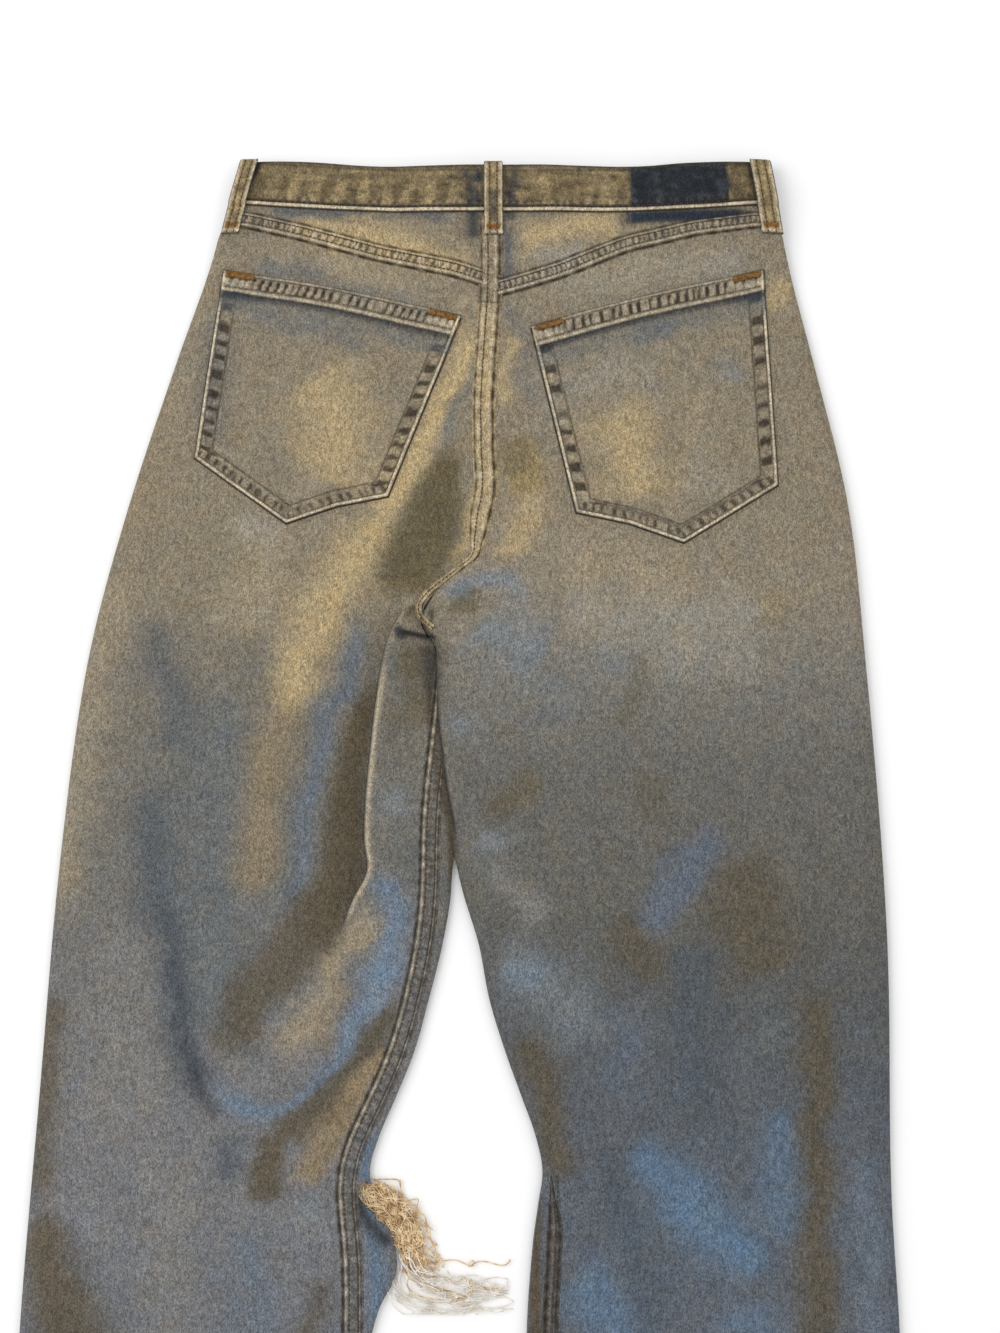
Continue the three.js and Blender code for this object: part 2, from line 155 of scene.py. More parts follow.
# The CAD model's own outlines
def cadEdges(nodes):
    points, edges, start = [], [], 0
    for node in nodes:
        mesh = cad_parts[node].data
        co = np.empty(len(mesh.vertices) * 3)
        mesh.vertices.foreach_get("co", co)
        pair = np.empty(len(mesh.edges) * 2, np.int32)
        mesh.edges.foreach_get("vertices", pair)
        points.append(co.reshape(-1, 3) / mm)
        edges.append(pair.reshape(-1, 2) + start)
        start += len(points[-1])
    points, edges = np.vstack(points), np.vstack(edges)
    return points[edges[:, 0]], points[edges[:, 1]]


def rim(nodes, axis, pick, positions):  # the outline's extreme across the axis, at positions along it
    a, b = cadEdges(nodes)
    knots = []
    for p in positions:
        t = (p - a[:, axis]) / (b[:, axis] - a[:, axis] + 1e-9)
        hit = (t >= 0) & (t <= 1)
        knots.append((p, pick((a + (b - a) * t[:, None])[hit, 1 - axis])))
    return through(knots)


def boxOf(node):
    low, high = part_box(node)
    return np.array(low) / mm, np.array(high) / mm


def rimAcross(nodes, pick, inset, count):  # the top or bottom outline, from the first node to the last
    start, end = boxOf(nodes[0])[0][0] + inset, boxOf(nodes[-1])[1][0] - inset
    return rim(nodes, 0, pick, np.linspace(start, end, count))


hemY = boxOf("back_left")[0][1]
rowsY = [
    hemY + 0.1, -460, -370, -300, -240, -208, -188, -166, -146, -126, -104, -80, -52, -20, 15, 50, 90, 130,
    165, 192, 212, 226, 242, 262, 285, 312, 345, 380, 415, 450, 480, 503,
]


def tucked(edge, inwards):  # an outline that leans in behind the side belt loops
    return lambda y: edge(y) + inwards * smooth(y, 492, 514)


def closed(edge, reach):  # an inner edge that reaches its neighbour below the crotch
    return lambda y: edge(y) + reach * smooth(y, 56, 84) * (1 - smooth(y, 206, 226))


def underCord(edge, reach):  # a back edge that stays under the cord at the seat
    return lambda y: edge(y) + reach * bump(y - 266, 20, 4)


sides = {}
for name, inwards, pickOut, pickIn, innerRoll, tuck in (
    ("left", 1, np.min, np.max, 45, 8),
    ("right", -1, np.max, np.min, 16, 6),
):
    sides[name] = {
        "inwards": inwards,
        "outer": tucked(rim([f"back_{name}", f"yoke_{name}"], 1, pickOut, rowsY), inwards * tuck),
        "seam": underCord(rim([f"back_{name}", f"yoke_{name}"], 1, pickIn, rowsY), 2.4 * (name == "left")),
        "inner": closed(rim([f"front_{name}"], 1, pickIn, rowsY[:-1]), 2.8 * (name == "left")),
        "innerRoll": innerRoll,
    }
yokeLine = {name: rimAcross([f"yoke_{name}"], np.min, 1, 14) for name in sides}
bandBottom = rimAcross(["yoke_left", "yoke_right"], np.max, 4, 15)
bandTop = rimAcross(["waistband"], np.max, 2, 15)
frontTop = {name: rimAcross([f"front_{name}"], np.max, 2, 40) for name in sides}
print("outlines read")


# Heights of the cloth
waist = {"from": (450, 500), "lift": 4.25, "apart": 2, "closer": 0.25}


def frontZ(y):  # middle of the fronts, which rise off the floor at the waist
    return jeans["cloth"] / 2 + waist["lift"] * smooth(y, *waist["from"])


def edgeZ(y):  # middle of the cloth at the side seams
    return frontZ(y) + waist["apart"] - waist["closer"] * smooth(y, *waist["from"])


def quarterRound(share):
    return np.sqrt(1 - (1 - np.clip(share, 0, 1)) ** 2)


loft = through([  # how high the back lies over its edges
    (-547, 2.6), (-400, 3.6), (-300, 4.2), (-160, 5), (-40, 5.4), (90, 5.8), (220, 6), (330, 5.2),
    (420, 4.2),
    (470, 3), (505, 1.9), (547, 1.9),
])

# (line, height, (width on its left, width on its right)) of each ridge, and troughs below zero
folds = [
    # the rise left of the deep fold behind the left thigh
    ([(-52, 300), (-88, 250), (-108, 180), (-118, 90), (-130, 20)], 4.2, (26, 30)),
    # the pouch behind the knee
    ([(-176, 16), (-172, -40), (-158, -74), (-130, -92), (-96, -84), (-76, -60), (-62, -30)],
     -3.6, (8, 14)),
    ([(-150, 0), (-146, -40), (-126, -66), (-100, -60), (-84, -36)], 4.6, (22, 15)),
    ([(-178, -62), (-150, -104), (-110, -116), (-80, -100)], 2.4, (12, 24)),
    ([(-64, -10), (-80, -60), (-92, -108), (-96, -150)], 2.6, (14, 16)),
    # drags on the left leg
    ([(-140, 286), (-176, 200), (-196, 90), (-206, -20)], 2.8, (26, 30)),
    ([(-196, 210), (-226, 120), (-232, 0)], -1.6, (18, 22)),
    ([(-214, -60), (-196, -150), (-190, -260)], 2.0, (26, 26)),
    ([(-140, -120), (-150, -200), (-150, -300)], -1.8, (18, 22)),
    ([(-100, -180), (-104, -260), (-116, -380)], 1.8, (20, 22)),
    # drags on the right leg
    ([(24, 250), (60, 190), (110, 120), (150, 40)], 2.2, (22, 26)),
    ([(-4, 190), (40, 110), (92, 30), (130, -60)], -2.0, (20, 20)),
    ([(40, 60), (84, -30), (110, -130)], 2.0, (22, 22)),
    ([(230, 260), (214, 150), (218, 40), (226, -90)], 1.8, (24, 20)),
    ([(170, 120), (176, 20), (160, -90)], -1.6, (20, 24)),
    ([(110, -140), (130, -230), (136, -340)], 2.0, (22, 26)),
    ([(210, -100), (206, -220), (204, -330)], -1.6, (22, 22)),
    # the seat
    ([(0, 400), (-20, 340), (-30, 280)], 1.4, (14, 16)),
    ([(48, 300), (60, 262), (52, 226)], -1.2, (12, 14)),
    ([(36, 258), (70, 268), (110, 262)], 1.0, (10, 12)),
    ([(-150, 284), (-110, 270), (-70, 286)], -0.9, (9, 9)),
    ([(90, 262), (150, 262), (204, 286)], -0.9, (9, 9)),
]


pleatLine = through([  # the lit edge of the fold behind the left thigh, across at each height
    (-547, -120), (-300, -118), (-160, -112), (-100, -106), (-40, -92), (0, -81), (20, -75.5),
    (42, -68), (62, -58.5),
    (80, -60.5), (100, -60.5), (140, -57.5), (170, -54.5), (205, -49), (222, -43.5), (234, -37),
    (262, -36), (300, -30),
    (400, -27), (503, -27),
])
pleat = {
    "step": 4.6,
    "valley": 5.4,
    "sharp": 1.1,  # half width of its lit edge
    "behind": 15,
    "panel": 20,
    "from": (14, 46),
    "to": (222, 240),
}


def pleatHeight(x, y):
    s = x - pleatLine(y)
    up = smooth(s, -pleat["sharp"], pleat["sharp"])
    high = pleat["step"] * bump(np.maximum(s, 0), pleat["panel"])
    deep = -pleat["valley"] * bump(np.minimum(s, 0) + 1, pleat["behind"])
    return lerp(deep, high, up) * smooth(y, *pleat["from"]) * (1 - smooth(y, *pleat["to"])) * (x < 0)


fly = {"lift": 3.7, "wide": (26, 85), "from": (400, 462)}


def flyLift(x, y):  # the closed fly lifts the middle of the waist
    across = 1 - smooth(np.abs(x - jeans["waistMiddle"]), *fly["wide"])
    return fly["lift"] * across * smooth(y, *fly["from"])


waves = [(0.5, 70, 3), (0.28, 30, 4), (0.12, 13, 5)]  # (height, length, seed)


def foldHeight(x, y):
    total = sum(high * stroke(line, wide, x, y) for line, high, wide in folds) + pleatHeight(x, y)
    total = total + sum(high * ripple(x, y, length, seed) for high, length, seed in waves)
    return total * (1 - 0.7 * smooth(y, 440, 500))


def legness(y, reach):
    return 1 - smooth(y, jeans["crotch"], jeans["crotch"] + reach)


def topZ(side, x, y):  # middle of the upper cloth
    fromSide = quarterRound(side["inwards"] * (x - side["outer"](y)) / jeans["sideRoll"])
    fromInner = quarterRound(side["inwards"] * (side["inner"](y) - x) / side["innerRoll"])
    rise = fromSide * lerp(1, fromInner, legness(y, 88))
    high = np.maximum(loft(y) + foldHeight(x, y) + flyLift(x, y), 0.5)
    return edgeZ(y) + 0.15 + high * rise


def backZ(x, y):  # outer face of the back, either half
    between = (sides["left"]["inner"](y) + sides["right"]["inner"](y)) / 2
    middle = np.where(y > 220, sides["left"]["seam"](y), between)
    left = topZ(sides["left"], x, y)
    right = topZ(sides["right"], x, y)
    return np.where(x < middle, left, right) + jeans["cloth"] / 2


# Colours of the wash, as they look in daylight, and the highlights and shade painted onto it
def rgb(red, green, blue):
    c = np.stack([red, green, blue], -1) / 255
    return np.where(c <= 0.04045, c / 12.92, ((c + 0.055) / 1.055) ** 2.4)


daylight = 0.86  # a tone under the lamps looks this much lighter than its paint
shades = {
    "tan": (192, 169, 124),
    "khaki": (140, 124, 98),
    "gold": (150, 130, 88),
    "sand": (154, 141, 118),
    "pale": (150, 145, 134),
    "ash": (128, 125, 120),
    "grey": (112, 108, 100),
    "pearl": (122, 128, 132),
    "steel": (102, 107, 109),
    "sky": (113, 132, 152),
    "azure": (96, 119, 142),
    "blue": (103, 113, 124),
    "slate": (80, 88, 96),
    "dusk": (99, 107, 118),
    "drab": (102, 95, 80),
    "olive": (98, 89, 66),
    "brown": (93, 84, 68),
    "umber": (86, 74, 54),
    "dark": (42, 40, 38),
    "night": (42, 50, 60),
    "cream": (204, 190, 164),
    "seam": (50, 42, 34),
    "rust": (126, 80, 28),
    "bandTan": (127, 112, 84),
}
tones = {name: rgb(*shade) * daylight for name, shade in shades.items()}
# (height, left half, right half)
washByY = [
    (-547, (98, 105, 114), (90, 98, 108)),
    (-260, (106, 110, 116), (98, 104, 113)),
    (-150, (118, 118, 120), (94, 99, 106)),
    (-75, (119, 118, 118), (92, 96, 101)),
    (-10, (113, 112, 111), (93, 94, 93)),
    (50, (113, 111, 106), (103, 101, 95)),
    (125, (116, 112, 103), (107, 105, 100)),
    (190, (122, 116, 105), (124, 120, 112)),
    (250, (134, 124, 106), (140, 130, 113)),
    (320, (138, 127, 108), (139, 128, 109)),
    (547, (138, 127, 108), (138, 127, 108)),
]
# (line, tone, strength, (width on its left, width on its right) or half widths along it), in this order
frontBlotches = [
    ([(-120, 380), (-130, 200), (-140, 0), (-140, -160)], "pale", 0.7, (44, 44)),
    ([(130, 380), (140, 200), (150, 0), (150, -160)], "pale", 0.7, (44, 44)),
    ([(-20, 330), (-70, 340), (-130, 372)], "pale", 0.5, (7, 7)),
    ([(-22, 300), (-80, 304), (-150, 330)], "pale", 0.5, (8, 8)),
    ([(60, 330), (110, 340), (180, 372)], "pale", 0.5, (7, 7)),
    ([(62, 300), (120, 304), (200, 330)], "pale", 0.5, (8, 8)),
    ([(-20, 316), (-80, 321), (-140, 350)], "slate", 0.4, (5, 5)),
    ([(62, 316), (120, 321), (190, 350)], "slate", 0.4, (5, 5)),
]
# patches of the wash, together with highlights and shade painted along the folds
washAndPaintedLight = [
    # left leg
    ([(-150, 190), (-158, 120), (-160, 60), (-156, 0), (-148, -56)], "steel", 0.75, (28, 28)),
    ([(-208, 232), (-197, 200), (-183, 170), (-188, 130)], "slate", 0.6, (12, 14)),
    # painted shadow west of the rim of the pouch behind the knee, in this and the entry after next
    ([(-190, 132), (-196, 84), (-186, 24), (-180, -14), (-171, -50), (-160, -80), (-146, -91)],
     "slate", 0.75, (11, 15)),
    ([(-184, 40), (-179, -14), (-170, -52), (-158, -80)], "night", 0.3, (6, 9)),
    ([(-222, 270), (-240, 170), (-250, 100), (-257, 20)], "sand", 0.6, (14, 20)),
    ([(-216, 30), (-214, -40), (-206, -110)], "ash", 0.6, (24, 24)),
    ([(-140, 250), (-124, 236)], "sand", 0.5, (18, 18)),
    # painted highlight along the rise left of the deep fold
    ([(-44, 312), (-62, 280), (-80, 250), (-97, 218), (-108, 186), (-116, 150)],
     "tan", 0.7, (11, 14, 19, 19, 14, 9)),
    ([(-124, 214), (-134, 190), (-132, 160)], "grey", 0.6, (9, 13)),
    ([(-112, 300), (-130, 270), (-140, 236), (-142, 210)], "sand", 0.75, (14, 18)),
    ([(-148, 292), (-120, 286)], "pale", 0.7, (10, 12)),
    ([(-104, 330), (-98, 312)], "sand", 0.6, (12, 12)),
    ([(-112, 176), (-124, 130), (-128, 80), (-128, 40)], "khaki", 0.75, (13, 15)),
    ([(-62, 236), (-70, 196), (-82, 166), (-92, 130), (-98, 92), (-102, 52), (-112, 12)],
     "blue", 0.75, (7, 10)),
    # the panel behind the fold
    ([(-40, 205), (-40, 150), (-44, 118)], "grey", 0.6, (14, 13)),
    ([(-42, 114), (-40, 98)], "pearl", 0.75, (13, 13), 3),
    ([(-36, 206), (-36, 188)], "olive", 0.4, (9, 7)),
    ([(-34, 168), (-44, 156)], "olive", 0.35, (9, 9)),
    ([(-26, 80), (-26, 50)], "slate", 0.4, (8, 8)),
    ([(-50, 60), (-40, 28), (-45, 6), (-58, -14)], "sky", 0.75, (9, 10)),
    ([(-63, 30), (-58, 16)], "sand", 0.85, (12, 12), 3),
    # the pouch behind the knee, with painted shade in its crease and painted highlights on its rim
    ([(-84, 60), (-106, 12), (-138, -30), (-138, -58)], "brown", 0.8, (10, 17, 18, 17), 4),
    ([(-62, 50), (-67, 28), (-78, 4), (-89, -20), (-103, -42), (-117, -60)],
     "sand", 0.8, (5, 8, 9, 9, 9, 8)),
    ([(-74, -10), (-84, -34), (-94, -54)], "khaki", 0.5, (7, 9, 7), 3),
    ([(-34, 19), (-45, 2), (-61, -28), (-75, -56), (-88, -75), (-113, -88), (-142, -83), (-160, -68)],
     "sky", 0.75, (6, 8, 8, 7, 6, 6, 8, 8)),
    ([(-36, -14), (-50, -38), (-70, -69), (-94, -94), (-126, -101)], "brown", 0.9, (4, 8, 10, 11, 10), 4),
    ([(-46, -48), (-63, -78), (-81, -106), (-100, -138)], "khaki", 0.9, (4, 8, 11, 12), 3),
    ([(-119, -101), (-120, -144)], "brown", 0.9, (9.5, 9.5), 4),
    ([(-106, -158), (-84, -150)], "pearl", 0.7, (10, 10)),
    ([(-134, -158), (-128, -190), (-122, -230)], "blue", 0.65, (13, 13)),
    ([(-150, -102), (-143, -136)], "slate", 0.6, (14, 12)),
    ([(-174, -105), (-178, -170), (-180, -240)], "ash", 0.6, (16, 18)),
    ([(-86, -184), (-91, -220), (-95, -260)], "brown", 0.65, (8, 8)),
    ([(-264, -140), (-252, -190), (-234, -236), (-214, -300)], "brown", 0.9, (8, 22, 30, 30), 3),
    ([(-258, -8), (-264, -70), (-264, -150)], "brown", 0.75, (12, 14), 3),
    # right leg
    ([(62, 276), (100, 266), (136, 256), (158, 262)], "sand", 0.75, (16, 20)),
    ([(112, 268), (132, 240), (146, 206)], "sand", 0.5, (7, 7)),
    ([(12, 228), (34, 212), (58, 202)], "pearl", 0.8, (20, 20)),
    ([(0, 164), (6, 148)], "pearl", 0.6, (11, 11)),
    ([(98, 208), (102, 190)], "pearl", 0.55, (12, 12)),
    ([(62, 186), (66, 160)], "pearl", 0.35, (16, 16)),
    ([(10, 250), (1, 238), (1, 226)], "olive", 0.75, (9, 8), 3),
    ([(-10, 240), (8, 254), (30, 252), (46, 240)], "sky", 0.5, (6, 7)),
    ([(14, 334), (11, 306), (2, 278), (-12, 259)], "tan", 0.75, (4, 3.5)),
    ([(118, 206), (113, 180), (104, 156)], "olive", 0.4, (7, 7)),
    ([(80, 236), (96, 222)], "gold", 0.35, (12, 12)),
    ([(196, 240), (214, 230)], "gold", 0.4, (12, 12)),
    ([(16, 102), (36, 109), (48, 121), (56, 130)], "drab", 0.9, (5, 10, 10, 5), 3),
    ([(128, 130), (124, 108), (116, 92)], "drab", 0.6, (10, 13)),
    ([(14, 86), (23, 72)], "pearl", 0.8, (13, 13)),
    ([(3, 92), (6, 72), (8, 60)], "grey", 0.6, (5, 4)),
    ([(18, 60), (42, 46), (60, 32)], "ash", 0.75, (11, 12)),
    ([(112, 18), (134, 44), (154, 68), (170, 94)], "dusk", 0.95, (8, 15, 15, 8), 3),
    ([(172, 76), (186, 34), (198, -10)], "brown", 0.75, (14, 30, 26), 2.5),
    ([(100, 34), (118, 8), (126, -10)], "brown", 0.7, (9, 15, 10), 2.5),
    ([(20, 6), (46, -4), (70, -20), (86, -52)], "pearl", 0.6, (18, 21)),
    ([(26, -2), (54, -8)], "sky", 0.35, (10, 10)),
    ([(98, -20), (108, -56), (104, -86)], "dusk", 0.6, (16, 16)),
    ([(38, -38), (50, -70), (57, -104), (62, -132)], "brown", 0.85, (14, 9)),
    ([(146, 22), (150, -30), (148, -80), (158, -108)], "slate", 0.7, (15, 14)),
    ([(196, -26), (198, -60)], "steel", 0.5, (12, 12)),
    ([(227, 6), (227, -80), (225, -140), (224, -200), (222, -270)], "brown", 0.85, (11, 15), 2.5),
    ([(250, -104), (255, -160), (259, -240)], "blue", 0.8, (9, 9)),
    ([(104, -108), (126, -126), (148, -150), (172, -172), (196, -186)], "azure", 0.9, (10, 15, 19, 17, 11)),
    ([(197, -84), (201, -140), (196, -166)], "azure", 0.55, (12, 12)),
    ([(68, -184), (92, -206), (106, -250)], "azure", 0.8, (16, 17)),
    ([(94, -108), (104, -150), (117, -190), (122, -230)], "slate", 0.65, (13, 12)),
    ([(178, -206), (186, -260)], "azure", 0.6, (14, 16)),
    # the seat
    ([(52, 452), (100, 464), (150, 474), (205, 474)], "pale", 0.55, (9, 13)),
    ([(52, 396), (62, 350)], "pale", 0.4, (10, 10)),
    ([(64, 384), (100, 392), (140, 396)], "pale", 0.5, (16, 14)),
    ([(150, 330), (176, 316)], "pale", 0.5, (14, 14)),
    ([(60, 236), (110, 226), (160, 230), (206, 224)], "pale", 0.65, (16, 18)),
    ([(120, 204), (160, 200), (204, 198)], "pale", 0.5, (14, 14)),
    ([(52, 204), (60, 178), (54, 150)], "steel", 0.3, (12, 12)),
    ([(-196, 440), (-204, 396)], "steel", 0.4, (8, 10)),
    ([(-166, 440), (-168, 404), (-172, 352)], "steel", 0.45, (7, 10)),
    ([(30, 446), (40, 424), (44, 400)], "steel", 0.5, (6, 9)),
    ([(-126, 486), (-110, 470)], "sand", 0.4, (8, 8)),
    ([(-150, 478), (-120, 470), (-70, 458), (-20, 446)], "steel", 0.6, (8, 8)),
    ([(-104, 478), (-70, 470), (-36, 462)], "sand", 0.6, (4, 5)),
    ([(2, 452), (8, 438)], "sand", 0.7, (8, 8)),
    ([(6, 440), (-3, 402), (-19, 360), (-39, 318), (-56, 290)], "tan", 0.78, (9, 10)),
    ([(8, 404), (-3, 370), (-14, 342)], "steel", 0.6, (4, 4)),
    ([(42, 316), (46, 304), (40, 286), (26, 266)], "tan", 0.5, (11, 13, 12, 9), 3),
    ([(35, 352), (41, 332), (45, 308)], "gold", 0.8, (11, 14, 12), 5),
    ([(34, 350), (41, 324)], "drab", 0.55, (9, 12), 4),
    ([(36, 424), (31, 398), (28, 372)], "tan", 0.5, (6, 6)),
    ([(44, 400), (46, 372)], "steel", 0.35, (8, 8)),
    ([(-160, 430), (-160, 380), (-164, 340)], "grey", 0.5, (10, 12)),
    ([(-104, 398), (-88, 376), (-84, 342), (-96, 318)], "tan", 0.55, (25, 28)),
    ([(-150, 436), (-110, 428), (-60, 416)], "steel", 0.5, (6, 8)),
    ([(-120, 344), (-128, 322)], "grey", 0.35, (10, 10)),
    ([(102, 376), (114, 342), (120, 304)], "tan", 0.55, (22, 24)),
    ([(158, 384), (160, 336)], "sand", 0.55, (14, 14)),
    ([(112, 424), (148, 426)], "steel", 0.7, (9, 9)),
    ([(176, 404), (180, 388)], "pearl", 0.5, (12, 12)),
    ([(136, 372), (140, 330)], "grey", 0.35, (6, 6)),
    ([(206, 440), (222, 466)], "tan", 0.5, (9, 10)),
    ([(60, 470), (100, 468), (140, 474)], "sand", 0.6, (9, 9)),
    ([(-200, 400), (-212, 330), (-222, 270)], "khaki", 0.4, (12, 12)),
    # yokes
    ([(-132, 497), (-92, 496), (-50, 487), (-10, 475), (12, 466)], "tan", 0.7, (6, 11, 12, 11, 6)),
    # painted shade under the waistband
    ([(-142, 513), (-90, 512), (-40, 512), (2, 509)], "slate", 0.7, (5, 5)),
    ([(36, 490), (70, 498), (104, 500), (114, 499)], "tan", 0.65, (11, 10)),
    ([(34, 476), (60, 481), (90, 486)], "sand", 0.6, (8, 8)),
    ([(-100, 474), (-60, 464), (-24, 452)], "sand", 0.7, (7, 9)),
    ([(50, 477), (84, 480)], "pale", 0.7, (8, 8)),
    # painted shade under the waistband and beside the belt loops
    ([(36, 513), (76, 515), (110, 515)], "slate", 0.5, (4, 4)),
    ([(31, 500), (31, 474), (29, 456)], "slate", 0.7, (7, 3)),
    ([(-150, 506), (-158, 498)], "umber", 0.7, (8, 8)),
]
foldShadowsAndHighlights = [  # painted shade and highlights, which keep to the folds and edges
    ([(104, 506), (150, 508), (202, 509)], "night", 1.0, (4.8, 4.8), 5),
    ([(8, 522), (8, 488)], "night", 0.85, (5, 6)),
    ([(33, 522), (33, 502)], "night", 0.7, (5, 5)),
    ([(-2, 348), (-14, 318), (-17, 300), (-26, 275), (-38, 250), (-38, 236)],
     "olive", 0.95, (5, 12, 20, 24, 22, 13), 5),
    ([(-55, 194), (-63, 165), (-69, 140), (-73, 110), (-75, 80), (-76, 60), (-84, 40), (-89, 20), (-106, -2)],
     "brown", 1.0, (3, 7.5, 9.5, 10.5, 14, 17, 15, 13, 9), 4),
    ([(-44, 214), (-45, 182)], "steel", 0.5, (4, 4)),
    ([(-48, 205), (-53.5, 170), (-56.5, 140), (-59.5, 100), (-59.5, 80), (-57.5, 62), (-67, 42), (-75, 20)],
     "cream", 0.6, (2, 1.4)),
    ([(-29, 243), (-37, 235), (-43, 224), (-48, 208)], "sand", 0.8, (3, 2)),
    ([(-24, 239), (-32, 233), (-38, 226)], "umber", 0.6, (2.2, 2.2)),
    ([(-33, 237), (-29, 228), (-21, 221)], "umber", 0.65, (3.5, 4)),
    ([(-19, 234), (-19, 226)], "dark", 0.8, (2, 2)),
    ([(-34, 212), (-31, 184), (-26, 152)], "olive", 0.55, (8, 8)),
    ([(-21, 215), (-20, 200), (-19, 184), (-18, 150)], "dark", 0.75, (10, 8, 5, 3)),
    ([(-42, 221), (-38, 212)], "night", 0.85, (3.5, 3.5), 3),
    ([(-41, 218.5), (-32, 217), (-25, 216), (-15, 215)], "dark", 1.0, (1.8, 3.0), 3),
    ([(-20, 186), (-18, 160), (-14.5, 136), (-12, 116), (-7, 96), (-5, 70), (-7, 44)],
     "umber", 0.9, (3, 3)),
    ([(-17, 212), (-16.5, 190), (-15, 165), (-11.5, 140), (-9, 118), (-5, 98), (-1, 74)],
     "dark", 0.85, (1.0, 1.3)),
    ([(-56, -92), (-58, -130), (-52, -180), (-50, -240)], "azure", 0.7, (8, 5)),
    ([(48, -132), (48, -180), (50, -250)], "umber", 0.9, (4, 8)),
    ([(-64, -138), (-58, -152), (-48, -164), (-40, -170)], "dark", 0.8, (3, 6)),
    ([(-170, -54), (-161, -79), (-148, -93)], "night", 0.5, (3.5, 5)),
]
ragged = {"near": 1.3, "nearReach": 11, "far": 3.5, "farReach": 42}  # how far a blotch's edge strays


def stained(colour, tone, share):
    return lerp(colour, tones[tone], np.asarray(share)[..., None])


def washAt(x, y, strokes=None):  # colour of the washed cloth at points of the plan, with painted highlights and shade on the folds unless other strokes are given
    heights, *halves = (np.array(column, float) for column in zip(*washByY))
    west, east = (
        np.stack([np.interp(y, heights, column) for column in rgb(*half.T).T * daylight], -1)
        for half in halves
    )
    colour = lerp(west, east, smooth(x, -14, -2)[..., None])
    strayX, strayY = (
        ragged["far"] * ripple(x, y, ragged["farReach"], seed)
        + ragged["near"] * ripple(x, y, ragged["nearReach"], seed + 1)
        for seed in (14, 16)
    )
    groups = ((washAndPaintedLight, 1), (foldShadowsAndHighlights, 0)) if strokes is None else ((strokes, 1),)
    for group, stray in groups:
        for line, tone, strength, wide, *power in group:
            edge = power[0] if power else 2
            share = strength * stroke(line, wide, x + stray * strayX, y + stray * strayY, 0.15, edge)
            colour = stained(colour, tone, share)
    cloud = 0.035 * ripple(x, y, 34, 11) + 0.03 * ripple(x, y, 15, 12)
    warm = 0.02 * ripple(x, y, 26, 13)
    return colour * np.stack([1 + cloud + warm, 1 + cloud, 1 + cloud - 1.4 * warm], -1)


# Materials
def nodeMaterial(name):
    material = bpy.data.materials.new(name)
    material.use_nodes = True
    nodes, links = material.node_tree.nodes, material.node_tree.links
    return material, nodes, links, nodes["Principled BSDF"]


def addNode(nodes, kind, inputs=None, **settings):
    node = nodes.new(kind)
    for key, value in settings.items():
        setattr(node, key, value)
    for key, value in (inputs or {}).items():
        node.inputs[key].default_value = value
    return node


def mixColour(nodes, links, blend, factor, a, b):
    node = addNode(nodes, "ShaderNodeMix", data_type="RGBA", blend_type=blend)
    for socket, value in ((node.inputs[0], factor), (node.inputs[6], a), (node.inputs[7], b)):
        if isinstance(value, bpy.types.NodeSocket):
            links.new(value, socket)
        else:
            socket.default_value = value
    return node.outputs[2]


def ramp(nodes, links, source, stops):
    node = nodes.new("ShaderNodeValToRGB")
    points = node.color_ramp.elements
    while len(points) < len(stops):
        points.new(0.5)
    for point, (place, value) in zip(points, stops):
        point.position = place
        point.color = (*value, 1) if hasattr(value, "__len__") else (value, value, value, 1)
    links.new(source, node.inputs[0])
    return node.outputs[0]


denimLook = {
    "fleck": 1500,  # per metre
    "streak": (1.0, 0.5, 1.0),  # flecks are longer along the warp
    "slub": 420,
    "mottle": 90,
    "chafe": 230,  # worn spots on seams
    "twill": 1150,
    "roughness": 0.92,
}


